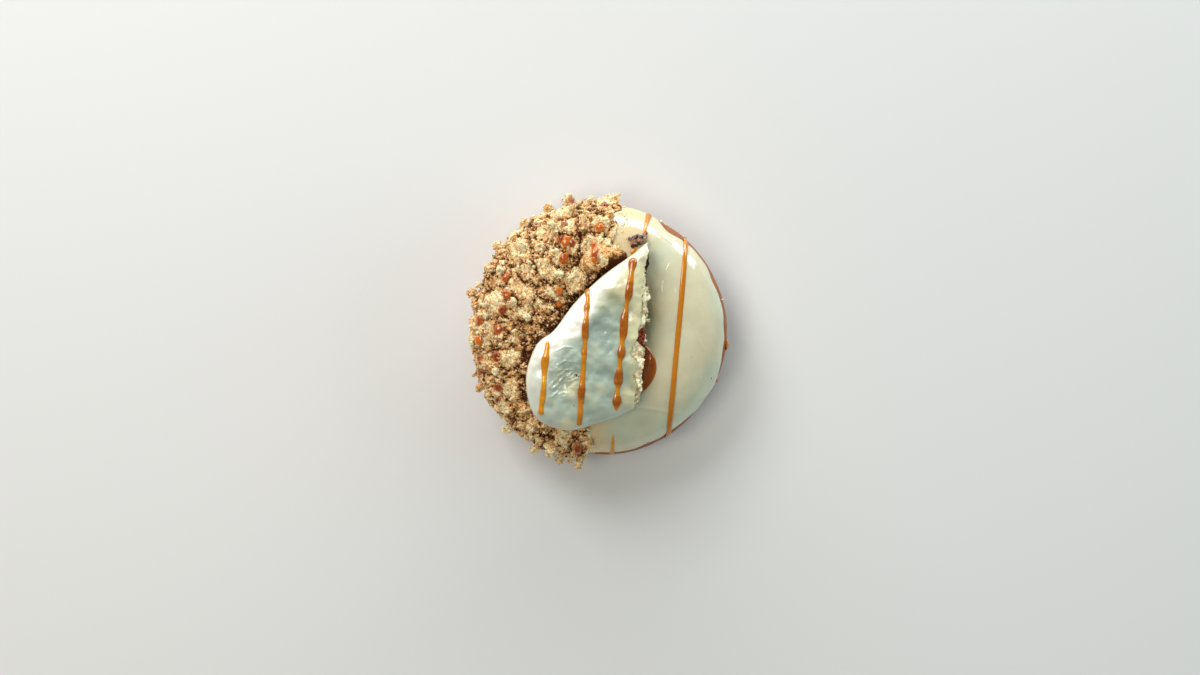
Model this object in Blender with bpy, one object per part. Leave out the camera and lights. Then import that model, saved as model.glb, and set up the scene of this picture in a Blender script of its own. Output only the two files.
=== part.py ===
"""An iced ring doughnut, one half in biscuit crumble, with caramel drizzled across it
and a broken piece of white-coated sandwich biscuit lying over the hole.

Metres, +Z up. The ring is modelled about the Z axis, and the last step moves everything
so that the origin is the middle of the bounding box, on the surface the ring stands on.
"""

import math
import random

import bmesh
import bpy
import numpy as np
from mathutils import Matrix, Vector, noise

MM = 0.001
GAP = 0.3 * MM

# The fried ring. Its section is a full-shouldered ellipse with a flat foot.
RING_RADIUS = 47.5 * MM
HOLE_RADIUS = 9.5 * MM
EQUATOR_HEIGHT = 15.5 * MM
RISE = 18.5 * MM
DROP = 16.6 * MM
SECTION_POWER = 0.91
CENTRE_RADIUS = (RING_RADIUS + HOLE_RADIUS) / 2
HALF_WIDTH = (RING_RADIUS - HOLE_RADIUS) / 2
RING_SIDES = 48
SECTION_SIDES = 20

# The icing: a skin from a wavy edge above the pale band to a little way down the hole.
# Under the crumble, where the ring was dipped deeper, its edge runs lower.
ICING_LIFT = GAP + 0.1 * MM
ICING_THICKNESS = 1.1 * MM
ICING_TOP = ICING_LIFT + ICING_THICKNESS
ICING_OUTER_EDGE = math.radians(27)
ICING_INNER_EDGE = math.radians(163)
ICING_STEPS = 10
ICING_DEEPER = math.radians(19)
BARE_SPOT_BEARING = math.radians(55)

# The crumble: a lumpy bed over half of the icing, with the larger crumbs fused on.
CRUMBLE_LIFT = ICING_TOP + 0.4 * MM
CRUMBLE_BED = 0.9 * MM
CRUMBLE_RELIEF = 1.5 * MM
CRUMBLE_START = math.radians(82)
CRUMBLE_END = math.radians(263)
CRUMBLE_OUTER_EDGE = math.radians(8)
CRUMBLE_INNER_EDGE = math.radians(138)
CRUMBLE_STEPS = (34, 13)
# How many lumps and hollows a metre of bed has.
COARSE_LUMPS = 260
FINE_LUMPS = 610
# Bearing round the ring and turn over it, both in degrees, and radius of the big lumps.
LUMPS = (
    (92, 96, 3.6 * MM),
    (120, 118, 2.2 * MM),
    (84, 18, 1.8 * MM),
    (105, 14, 2.8 * MM),
    (114, 16, 2.3 * MM),
    (126, 14, 2.0 * MM),
    (141, 13, 2.3 * MM),
    (164, 12, 2.4 * MM),
    (205, 14, 1.9 * MM),
    (226, 12, 2.3 * MM),
    (240, 12, 2.2 * MM),
    (260, 14, 2.0 * MM),
)
# Smallest radius, largest radius and number of each kind of crumb, largest first.
CRUMB_KINDS = ((1.7 * MM, 2.3 * MM, 32), (1.1 * MM, 1.5 * MM, 28))

# The caramel lines, as the plan positions of their two ends, and how thick they lie.
DRIZZLE_RADIUS = 0.8 * MM
ICING_DRIZZLE_STEP = 5.5 * MM
BISCUIT_DRIZZLE_STEP = 3.2 * MM
ICING_DRIZZLES = (
    ((31.5 * MM, 34.4 * MM), (24.5 * MM, -41.0 * MM)),
    ((17.6 * MM, 43.4 * MM), (15.3 * MM, 36.4 * MM)),
    ((4.0 * MM, -40.0 * MM), (3.5 * MM, -46.4 * MM)),
)
BISCUIT_DRIZZLES = (
    ((-20.7 * MM, -6.8 * MM), (-23.3 * MM, -33.9 * MM)),
    ((-6.1 * MM, 12.7 * MM), (-9.1 * MM, -37.0 * MM)),
    ((10.4 * MM, 23.3 * MM), (4.6 * MM, -30.9 * MM)),
)
CRUMBLE_DRIZZLES = (
    ((-46.2 * MM, 4.5 * MM), (-45.8 * MM, -17.5 * MM)),
    ((-36.0 * MM, 20.0 * MM), (-39.6 * MM, -28.0 * MM)),
    ((-11.8 * MM, 49.5 * MM), (-16.6 * MM, 7.0 * MM)),
    ((0.8 * MM, 47.5 * MM), (-3.0 * MM, 25.0 * MM)),
    ((-9.3 * MM, -42.0 * MM), (-9.8 * MM, -48.0 * MM)),
)
BEAD_SPACING = 7.5 * MM
BEAD_RADIUS = 1.25 * MM

# The biscuit: two layers with caramel between them, in a white coating, torn along one side.
# The outline is that of the unbroken biscuit, round from its top corner.
BISCUIT_OUTLINE = [
    Vector((x * MM, y * MM))
    for x, y in (
        (19.5, 32.4),
        (10.6, 26.4),
        (-0.6, 18.2),
        (-10.5, 8.5),
        (-18.0, -1.5),
        (-24.7, -7.3),
        (-28.4, -20.0),
        (-24.8, -33.6),
        (-13.4, -38.5),
        (-3.4, -36.3),
        (8.4, -32.0),
        (23.0, -22.0),
        (32.0, 4.0),
        (31.0, 27.0),
    )
]
BISCUIT_MIDDLE = Vector((-1.0 * MM, -7.0 * MM))
BISCUIT_RISE = 8.0 * MM
BISCUIT_DROP = 4.2 * MM
BISCUIT_SIDES = 32
BISCUIT_RINGS = 11
RIM_POWER = 0.58
FACE_POWER = 0.58
COATING_THICKNESS = 1.2 * MM
FILLING_INSET = COATING_THICKNESS + 0.5 * MM
FILLING_BOTTOM = -0.6 * MM
FILLING_TOP = 2.0 * MM
LAYER_GAP = 0.4 * MM
# Plan position and height of the swells and hollows in the coating, and how wide they are.
COATING_SWELLS = (
    ((8.0 * MM, 15.0 * MM), 0.9 * MM),
    ((2.4 * MM, 8.1 * MM), -0.8 * MM),
    ((-13.0 * MM, 1.0 * MM), 0.6 * MM),
    ((-0.9 * MM, -2.2 * MM), -0.9 * MM),
    ((11.0 * MM, -3.0 * MM), 0.6 * MM),
    ((7.0 * MM, -21.0 * MM), -0.6 * MM),
    ((-15.0 * MM, -19.0 * MM), -0.7 * MM),
    ((-16.5 * MM, -31.0 * MM), 0.5 * MM),
)
SWELL_WIDTH = 5.0 * MM
TEAR_TOP = Vector((15.6 * MM, 35.0 * MM))
TEAR_BOTTOM = Vector((11.1 * MM, -28.0 * MM))
TEAR_STEPS = (30, 5)
TEAR_HALF_LENGTH = 45 * MM
TEAR_HALF_HEIGHT = 14 * MM
# Wide enough for a cutter to pass right through the biscuit.
CUTTER_SIZE = 120 * MM
# How many jags a metre the torn layers have.
COARSE_JAGS = 380
FINE_JAGS = 900
# Where the upper layer has crumbled away along the tear, so that the caramel shows.
NOTCH_PLACE = -3.0 * MM
NOTCH_WIDTH = 4.0 * MM
NOTCH_DEPTH = 1.8 * MM
# The biscuit leans on the crumble on one side and on the icing on the other.
BISCUIT_LEAN = math.radians(4.2)
CREST_HEIGHT = EQUATOR_HEIGHT + RISE + CRUMBLE_LIFT + CRUMBLE_BED
BISCUIT_HEIGHT = CREST_HEIGHT + GAP + BISCUIT_DROP

# A pool of caramel beside the tear and a dark scrap at the biscuit's corner.
POOL_NORTH = -6.0 * MM
POOL_SOUTH = -24.6 * MM
POOL_FROM_TEAR = 2.4 * MM
POOL_WIDTH = 5.6 * MM
POOL_DEPTH = 1.0 * MM
SCRAP_PLACE = Vector((13.4 * MM, 33.2 * MM))
SCRAP_SIZE = Vector((2.9 * MM, 1.9 * MM, 1.0 * MM))
SCRAP_TURN = math.radians(40)

FOOD = bpy.data.collections.new("iced_ring_doughnut")
HELPERS = bpy.data.collections.new("cutters")


def clear_scene():
    for obj in list(bpy.data.objects):
        bpy.data.objects.remove(obj)
    bpy.context.scene.collection.children.link(FOOD)
    bpy.context.scene.collection.children.link(HELPERS)


def adopt(obj, name, collection):
    """Names a new object and keeps it in one collection only."""
    obj.name = name
    for other in list(obj.users_collection):
        other.objects.unlink(obj)
    collection.objects.link(obj)
    if collection is HELPERS:
        obj.hide_render = True
        obj.display_type = "WIRE"
    return obj


def finish(obj, colour, roughness, smooth=40):
    """Gives a piece its own material and smooth shading up to an angle in degrees."""
    material = bpy.data.materials.new(obj.name)
    material.use_nodes = True
    shader = material.node_tree.nodes["Principled BSDF"]
    shader.inputs["Base Color"].default_value = (*colour, 1)
    shader.inputs["Roughness"].default_value = roughness
    shader.inputs["Metallic"].default_value = 0
    obj.data.materials.clear()
    obj.data.materials.append(material)
    obj.data.shade_smooth()
    obj.data.set_sharp_from_angle(angle=math.radians(smooth))
    return obj


def boolean(obj, operation, other):
    """Adds a Boolean with an object or with every object in a collection."""
    modifier = obj.modifiers.new(operation.lower(), "BOOLEAN")
    modifier.operation = operation
    if isinstance(other, bpy.types.Collection):
        modifier.operand_type = "COLLECTION"
        modifier.collection = other
    else:
        modifier.object = other
    return modifier


def bake(obj):
    """Replaces an object's mesh with what its modifiers make of it."""
    bpy.context.view_layer.update()
    evaluated = obj.evaluated_get(bpy.context.evaluated_depsgraph_get())
    baked = bpy.data.meshes.new_from_object(evaluated)
    obj.modifiers.clear()
    obj.data = baked


def keep_largest_shell(obj):
    """Drops loose scraps and fills sealed hollows: only the largest connected skin stays."""
    mesh = bmesh.new()
    mesh.from_mesh(obj.data)
    unseen = set(mesh.verts)
    shells = []
    while unseen:
        stack = [unseen.pop()]
        shell = list(stack)
        while stack:
            vertex = stack.pop()
            near = {edge.other_vert(vertex) for edge in vertex.link_edges} & unseen
            unseen -= near
            stack.extend(near)
            shell.extend(near)
        shells.append(shell)
    largest = max(shells, key=len)
    for shell in shells:
        if shell is not largest:
            bmesh.ops.delete(mesh, geom=shell, context="VERTS")
    mesh.to_mesh(obj.data)
    mesh.free()


# The ring and everything that follows its surface


def unevenness(bearing):
    """How much wider than a true circle the hand-made ring is at a bearing."""
    return 0.006 * math.sin(2 * bearing + 0.6) + 0.004 * math.sin(5 * bearing + 2.0)


def ring_point(bearing, turn, lift=0.0):
    """A point on the ring's surface, grown by lift: turn is 0 outward and 90 degrees up."""
    across, up = math.cos(turn), math.sin(turn)
    radius = math.copysign(abs(across) ** SECTION_POWER, across) * (HALF_WIDTH + lift)
    radius = (CENTRE_RADIUS + radius) * (1 + unevenness(bearing))
    tall = (RISE if up > 0 else DROP) + lift
    height = EQUATOR_HEIGHT + math.copysign(abs(up) ** SECTION_POWER, up) * tall
    return Vector((radius * math.cos(bearing), radius * math.sin(bearing), max(height, 0)))


def turn_at(x, y, lift):
    """The turn at which the grown ring's upper surface passes over a plan position."""
    radius = math.hypot(x, y) / (1 + unevenness(math.atan2(y, x)))
    across = max(-1, min(1, (radius - CENTRE_RADIUS) / (HALF_WIDTH + lift)))
    return math.acos(math.copysign(abs(across) ** (1 / SECTION_POWER), across))


def surface_over(x, y, lift):
    """The point of the grown ring's upper surface over a plan position."""
    return ring_point(math.atan2(y, x), turn_at(x, y, lift), lift)


def shaped_torus(name, section_sides, place):
    """A torus whose vertices are moved to place(bearing, share of the way round the section)."""
    bpy.ops.mesh.primitive_torus_add(
        major_segments=RING_SIDES,
        minor_segments=section_sides,
        major_radius=CENTRE_RADIUS,
        minor_radius=HALF_WIDTH,
    )
    obj = adopt(bpy.context.object, name, FOOD)
    for vertex in obj.data.vertices:
        x, y, z = vertex.co
        turn = math.atan2(z, math.hypot(x, y) - CENTRE_RADIUS)
        vertex.co = place(math.atan2(y, x), turn / math.tau % 1)
    return obj


def make_dough():
    obj = shaped_torus("dough", SECTION_SIDES, lambda b, share: ring_point(b, share * math.tau))
    return finish(obj, (0.62, 0.36, 0.14), 0.6)


def icing_edge(bearing):
    """The turn of the icing's outer edge: high at a bare spot and low under the crumble."""
    wave = 4 * math.sin(3 * bearing + 0.7) + 3 * math.sin(7 * bearing + 2.1)
    from_spot = math.remainder(bearing - BARE_SPOT_BEARING, math.tau)
    bare = 14 * math.exp(-((math.degrees(from_spot) / 8) ** 2))
    from_crumble = math.remainder(bearing - (CRUMBLE_START + CRUMBLE_END) / 2, math.tau)
    inside = (CRUMBLE_END - CRUMBLE_START) / 2 - abs(from_crumble)
    covered = 1 / (1 + math.exp(-inside / math.radians(4)))
    return ICING_OUTER_EDGE + math.radians(wave + bare) - ICING_DEEPER * covered


def icing_section(bearing, share):
    """Goes up the icing's outside for the first half of its section and back underneath."""
    start = icing_edge(bearing)
    end = ICING_INNER_EDGE + math.radians(5 * math.sin(4 * bearing))
    if share <= 0.5:
        way = share + 0.25 - 0.25 * math.cos(2 * share * math.pi)
        lift = ICING_LIFT + ICING_THICKNESS * min(1, math.sin(2 * share * math.pi) * 3) ** 0.5
    else:
        way = 2 - 2 * share
        lift = ICING_LIFT
    return ring_point(bearing, start + (end - start) * way, lift)


def route(ends, height, spacing):
    """Points along a straight plan line, closer together at its ends, at the given height."""
    first, last = (Vector(end) for end in ends)
    steps = max(4, round((last - first).length / spacing))
    for step in range(steps + 1):
        plan = first.lerp(last, 0.5 - 0.5 * math.cos(math.pi * step / steps))
        yield height(plan.x, plan.y)


def caramel_line(points, beading, helper):
    """A thick line of caramel that swells into beads, as a closed tube."""
    curve = bpy.data.curves.new("caramel_line", "CURVE")
    curve.dimensions = "3D"
    curve.bevel_depth = DRIZZLE_RADIUS
    curve.bevel_resolution = 1
    curve.use_fill_caps = True
    points = list(points)
    spline = curve.splines.new("POLY")
    spline.points.add(len(points) - 1)
    for number, (target, place) in enumerate(zip(spline.points, points)):
        target.co = (*place, 1)
        target.radius = 1 + beading * math.sin(number * 1.7) ** 2
    guide = bpy.data.objects.new("caramel_line", curve)
    HELPERS.objects.link(guide)
    bpy.context.view_layer.update()
    graph = bpy.context.evaluated_depsgraph_get()
    mesh = bpy.data.meshes.new_from_object(guide.evaluated_get(graph))
    tube = bpy.data.objects.new("caramel_tube", mesh)
    helper.objects.link(tube)
    bpy.data.objects.remove(guide)
    welded = bmesh.new()
    welded.from_mesh(mesh)
    bmesh.ops.remove_doubles(welded, verts=welded.verts, dist=0.01 * MM)
    welded.to_mesh(mesh)
    welded.free()


def fuse(obj, helper, solver="EXACT"):
    """Joins every object in a helper collection to obj and removes the collection."""
    boolean(obj, "UNION", helper).solver = solver
    bake(obj)
    for part in list(helper.objects):
        bpy.data.objects.remove(part)
    bpy.data.collections.remove(helper)
    keep_largest_shell(obj)


def helper_collection(name):
    helper = bpy.data.collections.new(name)
    HELPERS.children.link(helper)
    helper.hide_render = True
    return helper


def icing_top(x, y):
    """Just above the icing's upper face over a plan position."""
    return surface_over(x, y, ICING_TOP + 0.1 * MM)


def make_icing():
    obj = shaped_torus("icing", 2 * ICING_STEPS, icing_section)
    lines = helper_collection("icing_lines")
    for ends in ICING_DRIZZLES:
        caramel_line(route(ends, icing_top, ICING_DRIZZLE_STEP), 0.15, lines)
    fuse(obj, lines)
    return finish(obj, (0.80, 0.78, 0.62), 0.15)


def make_pool():
    """A thin puddle on the icing whose straight side follows the tear of the biscuit."""
    bpy.ops.mesh.primitive_uv_sphere_add(segments=16, ring_count=8, radius=1)
    obj = adopt(bpy.context.object, "caramel_pool", FOOD)
    for vertex in obj.data.vertices:
        share = 0.5 + 0.5 * vertex.co.y
        y = POOL_SOUTH + (POOL_NORTH - POOL_SOUTH) * share
        bulge = POOL_WIDTH * math.sin(math.pi * min(1, max(0, share))) ** 0.7
        rounded = math.sqrt(max(1e-6, 1 - vertex.co.y**2))
        x = tear_line(y) + POOL_FROM_TEAR + bulge * (0.5 + 0.5 * vertex.co.x / rounded)
        lift = ICING_TOP + GAP + (POOL_DEPTH * vertex.co.z if vertex.co.z > 0 else 0)
        vertex.co = surface_over(x, y, lift)
    return finish(obj, (0.36, 0.13, 0.02), 0.12)


# The crumble


def in_biscuit_plan(x, y, margin):
    """Whether a plan position lies within margin of the biscuit's outline or inside it."""
    away = Vector((x, y)) - BISCUIT_MIDDLE
    inside = away.length < outline_reach(math.atan2(away.y, away.x)) + margin
    return inside and x < tear_line(y) + 4 * MM + margin


def biscuit_underside(x):
    """A height that the biscuit's underside doesn't reach below."""
    return BISCUIT_HEIGHT - BISCUIT_DROP - math.tan(BISCUIT_LEAN) * x


def bed_lift(bearing, turn):
    """Lift of the bed's lumpy outer face, pressed flat where the biscuit lies on it."""
    spot = ring_point(bearing, turn)
    lumps = noise.noise(spot * COARSE_LUMPS) + 0.5 * noise.noise(spot * FINE_LUMPS)
    lift = CRUMBLE_LIFT + CRUMBLE_BED + CRUMBLE_RELIEF * max(0, 0.35 + lumps)
    place = ring_point(bearing, turn, lift)
    if in_biscuit_plan(place.x, place.y, 1 * MM):
        room = biscuit_underside(place.x) - GAP - EQUATOR_HEIGHT
        lift = min(lift, room / math.sin(turn) ** SECTION_POWER - RISE)
    return lift


def crumble_bed():
    """A curved sheet over half of the ring, drawn outward, with an uneven border."""
    sheet = bmesh.new()
    bmesh.ops.create_grid(
        sheet, x_segments=CRUMBLE_STEPS[0], y_segments=CRUMBLE_STEPS[1], size=1
    )
    drawn = bmesh.ops.extrude_face_region(sheet, geom=sheet.faces[:])
    outer = {item for item in drawn["geom"] if isinstance(item, bmesh.types.BMVert)}
    for vertex in sheet.verts:
        along, over = 0.5 + 0.5 * vertex.co.x, 0.5 + 0.5 * vertex.co.y
        ragged = math.radians(5) * noise.noise(Vector((9 * along, 5 * over, 0)))
        bearing = CRUMBLE_START + (CRUMBLE_END - CRUMBLE_START) * along + ragged
        turn = CRUMBLE_OUTER_EDGE + (CRUMBLE_INNER_EDGE - CRUMBLE_OUTER_EDGE) * over + ragged
        lift = bed_lift(bearing, turn) if vertex in outer else CRUMBLE_LIFT
        vertex.co = ring_point(bearing, turn, lift)
    bmesh.ops.recalc_face_normals(sheet, faces=sheet.faces)
    mesh = bpy.data.meshes.new("crumble")
    sheet.to_mesh(mesh)
    sheet.free()
    obj = bpy.data.objects.new("crumble", mesh)
    FOOD.objects.link(obj)
    return obj


def add_crumb(bearing, turn, radius, draw, helper, sides=1, flatness=1.0):
    """One angular crumb half sunk in the bed: an icosphere with its corners pushed in."""
    crumb = bmesh.new()
    bmesh.ops.create_icosphere(crumb, subdivisions=sides, radius=radius)
    for vertex in crumb.verts:
        vertex.co *= draw.uniform(0.76, 1.0)
        vertex.co.z *= flatness
    mesh = bpy.data.meshes.new("crumb")
    crumb.to_mesh(mesh)
    crumb.free()
    obj = bpy.data.objects.new("crumb", mesh)
    obj.location = crumb_place(bearing, turn, radius)
    obj.rotation_euler.z = draw.uniform(0, math.tau)
    helper.objects.link(obj)


def crumb_place(bearing, turn, radius):
    """The middle of a crumb that stands in the bed and clear of the icing."""
    lift = max(CRUMBLE_LIFT + radius + 0.1 * MM, bed_lift(bearing, turn) + 0.4 * radius)
    return ring_point(bearing, turn, lift)


def crumb_fits(place, radius, placed):
    """Whether a crumb stays clear of the biscuit and isn't crowded by the others."""
    if in_biscuit_plan(place.x, place.y, radius + GAP):
        if place.z + radius > biscuit_underside(place.x) - GAP:
            return False
    return all((place - other).length > 0.8 * (radius + size) for other, size in placed)


def scatter_crumbs(helper):
    """The named lumps first, then each kind of crumb spread at random without crowding."""
    draw = random.Random(7)
    placed = []
    for bearing, turn, radius in LUMPS:
        where = (math.radians(bearing), math.radians(turn), radius)
        placed.append((crumb_place(*where), radius))
        add_crumb(*where, draw, helper, sides=2)
    for smallest, largest, wanted in CRUMB_KINDS:
        made = 0
        for _ in range(60 * wanted):
            radius = draw.uniform(smallest, largest)
            bearing = draw.uniform(CRUMBLE_START, CRUMBLE_END)
            turn = draw.uniform(CRUMBLE_OUTER_EDGE, CRUMBLE_INNER_EDGE - math.radians(8))
            place = crumb_place(bearing, turn, radius)
            if made < wanted and crumb_fits(place, radius, placed):
                placed.append((place, radius))
                add_crumb(bearing, turn, radius, draw, helper)
                made += 1


def bead_caramel(helper):
    """Where the drizzle falls on crumbs it breaks up into beads."""
    draw = random.Random(11)
    for ends in CRUMBLE_DRIZZLES:
        first, last = (Vector(end) for end in ends)
        count = max(1, round((last - first).length / BEAD_SPACING))
        for number in range(count):
            plan = first.lerp(last, (number + draw.uniform(0.3, 0.7)) / count)
            bearing = math.atan2(plan.y, plan.x)
            turn = turn_at(plan.x, plan.y, CRUMBLE_LIFT + CRUMBLE_BED)
            if crumb_fits(crumb_place(bearing, turn, BEAD_RADIUS), BEAD_RADIUS, []):
                add_crumb(bearing, turn, BEAD_RADIUS, draw, helper, flatness=0.8)


def make_crumble():
    obj = crumble_bed()
    crumbs = helper_collection("crumbs")
    scatter_crumbs(crumbs)
    bead_caramel(crumbs)
    fuse(obj, crumbs, "MANIFOLD")
    return finish(obj, (0.66, 0.45, 0.26), 0.85, smooth=25)


# The broken biscuit, made level about its own middle height and then leaned into place


def smooth_outline(samples=12):
    """The biscuit's outline as a smooth closed curve through its points."""
    count = len(BISCUIT_OUTLINE)
    curve = []
    for number in range(count):
        before, start, end, after = (
            BISCUIT_OUTLINE[(number + step) % count] for step in (-1, 0, 1, 2)
        )
        for sample in range(samples):
            t = sample / samples
            curve.append(
                0.5
                * (
                    2 * start
                    + (end - before) * t
                    + (2 * before - 5 * start + 4 * end - after) * t**2
                    + (3 * start - before - 3 * end + after) * t**3
                )
            )
    return curve


def outline_table():
    """Direction and distance of the outline from the biscuit's middle, by direction."""
    away = [point - BISCUIT_MIDDLE for point in smooth_outline()]
    pairs = sorted((math.atan2(point.y, point.x), point.length) for point in away)
    return tuple(zip(*pairs))


OUTLINE_TABLE = outline_table()


def outline_reach(direction):
    """Distance from the biscuit's middle to its outline in a direction."""
    return float(np.interp(direction, *OUTLINE_TABLE, period=math.tau))


def swell(x, y):
    """Height of the gentle swells and hollows in the coating over a plan position."""
    return sum(
        height * math.exp(-((Vector((x, y)) - Vector(place)).length_squared) / SWELL_WIDTH**2)
        for place, height in COATING_SWELLS
    )


def biscuit_top(x, y):
    """The point of the coated biscuit's upper face over a plan position."""
    away = Vector((x, y)) - BISCUIT_MIDDLE
    share = min(1, away.length / outline_reach(math.atan2(away.y, away.x)))
    up = max(0, 1 - share ** (2 / RIM_POWER)) ** (FACE_POWER / 2)
    return Vector((x, y, (BISCUIT_RISE + swell(x, y)) * up))


def biscuit_body(name, inset, collection):
    """A rounded slab with the biscuit's outline, smaller all round by inset."""
    bpy.ops.mesh.primitive_uv_sphere_add(
        segments=BISCUIT_SIDES, ring_count=BISCUIT_RINGS, radius=1
    )
    obj = adopt(bpy.context.object, name, collection)
    for vertex in obj.data.vertices:
        flat = math.hypot(vertex.co.x, vertex.co.y)
        direction = math.atan2(vertex.co.y, vertex.co.x)
        reach = (outline_reach(direction) - inset) * flat**RIM_POWER
        x = BISCUIT_MIDDLE.x + reach * math.cos(direction)
        y = BISCUIT_MIDDLE.y + reach * math.sin(direction)
        up = abs(vertex.co.z) ** FACE_POWER
        tall = BISCUIT_RISE + swell(x, y) if vertex.co.z > 0 else BISCUIT_DROP
        vertex.co = (x, y, math.copysign(up * (tall - inset), vertex.co.z))
    return obj


def tear_line(y):
    """Where the tear crosses the biscuit at a plan position y."""
    share = (y - TEAR_BOTTOM.y) / (TEAR_TOP.y - TEAR_BOTTOM.y)
    return TEAR_BOTTOM.x + (TEAR_TOP.x - TEAR_BOTTOM.x) * share


def tear_cutter(name, beyond, roughness, notch=0.0):
    """Everything east of the tear: a ragged sheet, beyond the tear line, drawn out sideways."""
    cutter = bmesh.new()
    bmesh.ops.create_grid(
        cutter, x_segments=TEAR_STEPS[0], y_segments=TEAR_STEPS[1], size=1
    )
    for vertex in cutter.verts:
        y = (TEAR_TOP.y + TEAR_BOTTOM.y) / 2 + vertex.co.x * TEAR_HALF_LENGTH
        z = vertex.co.y * TEAR_HALF_HEIGHT
        spot = Vector((y, z, beyond))
        jag = noise.noise(spot * COARSE_JAGS) + 0.6 * noise.noise(spot * FINE_JAGS)
        notched = notch * math.exp(-(((y - NOTCH_PLACE) / NOTCH_WIDTH) ** 2))
        vertex.co = (tear_line(y) + beyond - notched + roughness * jag, y, z)
    drawn = bmesh.ops.extrude_face_region(cutter, geom=cutter.faces[:])
    moved = [item for item in drawn["geom"] if isinstance(item, bmesh.types.BMVert)]
    bmesh.ops.translate(cutter, verts=moved, vec=(CUTTER_SIZE, 0, 0))
    bmesh.ops.recalc_face_normals(cutter, faces=cutter.faces)
    mesh = bpy.data.meshes.new(name)
    cutter.to_mesh(mesh)
    cutter.free()
    return adopt(bpy.data.objects.new(name, mesh), name, HELPERS)


def slab(name, bottom, top):
    """A wide flat box between two heights, to take one layer out of the biscuit."""
    bpy.ops.mesh.primitive_cube_add(size=1, location=(0, 0, (bottom + top) / 2))
    obj = adopt(bpy.context.object, name, HELPERS)
    for vertex in obj.data.vertices:
        vertex.co *= CUTTER_SIZE
        vertex.co.z = math.copysign((top - bottom) / 2, vertex.co.z)
    return obj


def make_coating():
    """The white shell, open at the tear, with its caramel lines fused on."""
    obj = biscuit_body("coating", 0, FOOD)
    lines = helper_collection("biscuit_lines")
    for ends in BISCUIT_DRIZZLES:
        caramel_line(route(ends, biscuit_top, BISCUIT_DRIZZLE_STEP), 0.5, lines)
    fuse(obj, lines)
    hollow = biscuit_body("coating_hollow", COATING_THICKNESS, HELPERS)
    boolean(obj, "DIFFERENCE", hollow)
    boolean(obj, "DIFFERENCE", tear_cutter("coating_tear", 0, 0.8 * MM))
    return finish(obj, (0.78, 0.82, 0.70), 0.2)


def make_layer(name, bottom, top, tear, colour):
    """One layer inside the coating, running right through to its own ragged end."""
    obj = biscuit_body(name, FILLING_INSET, FOOD)
    boolean(obj, "INTERSECT", slab(name + "_band", bottom, top))
    boolean(obj, "DIFFERENCE", tear)
    return finish(obj, colour, 0.7, smooth=30)


def make_biscuit():
    """The coated biscuit's pieces, all carried by one empty that leans them on the ring."""
    seat = bpy.data.objects.new("biscuit_seat", None)
    FOOD.objects.link(seat)
    pale, caramel = (0.80, 0.72, 0.52), (0.30, 0.07, 0.02)
    low, high = -20 * MM, 20 * MM
    base_tear = tear_cutter("base_tear", 2.5 * MM, 0.7 * MM)
    filling_tear = tear_cutter("filling_tear", 1.6 * MM, 0.5 * MM)
    top_tear = tear_cutter("top_tear", 2.1 * MM, 1.1 * MM, NOTCH_DEPTH)
    make_coating().parent = seat
    make_layer("biscuit_base", low, FILLING_BOTTOM - LAYER_GAP, base_tear, pale).parent = seat
    make_layer("caramel_filling", FILLING_BOTTOM, FILLING_TOP, filling_tear, caramel).parent = seat
    make_layer("biscuit_top", FILLING_TOP + LAYER_GAP, high, top_tear, pale).parent = seat
    for cutter in HELPERS.objects:
        cutter.parent = seat
    seat.location.z = BISCUIT_HEIGHT
    seat.rotation_euler.y = BISCUIT_LEAN


def make_scrap():
    """The small dark scrap lying on the icing at the biscuit's corner."""
    draw = random.Random(3)
    bpy.ops.mesh.primitive_ico_sphere_add(subdivisions=2, radius=1)
    obj = adopt(bpy.context.object, "dark_scrap", FOOD)
    for vertex in obj.data.vertices:
        vertex.co = vertex.co * draw.uniform(0.85, 1.0) * SCRAP_SIZE
    bearing = math.atan2(SCRAP_PLACE.y, SCRAP_PLACE.x)
    turn = turn_at(SCRAP_PLACE.x, SCRAP_PLACE.y, ICING_TOP)
    under = ring_point(bearing, turn, ICING_TOP)
    upward = (ring_point(bearing, turn, ICING_TOP + MM) - under).normalized()
    lay = upward.to_track_quat("Z", "Y").to_matrix() @ Matrix.Rotation(SCRAP_TURN, 3, "Z")
    obj.rotation_euler = lay.to_euler()
    obj.location = under + upward * (SCRAP_SIZE.z + 2 * GAP)
    return finish(obj, (0.10, 0.02, 0.02), 0.3)


def stand_on_origin():
    """Moves everything so that the origin is the middle of the bounding box, at its base."""
    bpy.context.view_layer.update()
    graph = bpy.context.evaluated_depsgraph_get()
    corners = []
    for obj in FOOD.objects:
        if obj.type == "MESH":
            evaluated = obj.evaluated_get(graph)
            corners += [evaluated.matrix_world @ v.co for v in evaluated.data.vertices]
    middle_x = (min(c.x for c in corners) + max(c.x for c in corners)) / 2
    middle_y = (min(c.y for c in corners) + max(c.y for c in corners)) / 2
    for obj in [*FOOD.objects, *HELPERS.objects]:
        if obj.parent is None:
            obj.location.x -= middle_x
            obj.location.y -= middle_y


clear_scene()
make_dough()
make_icing()
make_pool()
make_crumble()
make_biscuit()
make_scrap()
stand_on_origin()
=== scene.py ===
import math
import random

import bmesh
import bpy
import numpy as np
from mathutils import Matrix, Vector, noise
from mathutils.bvhtree import BVHTree


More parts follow.
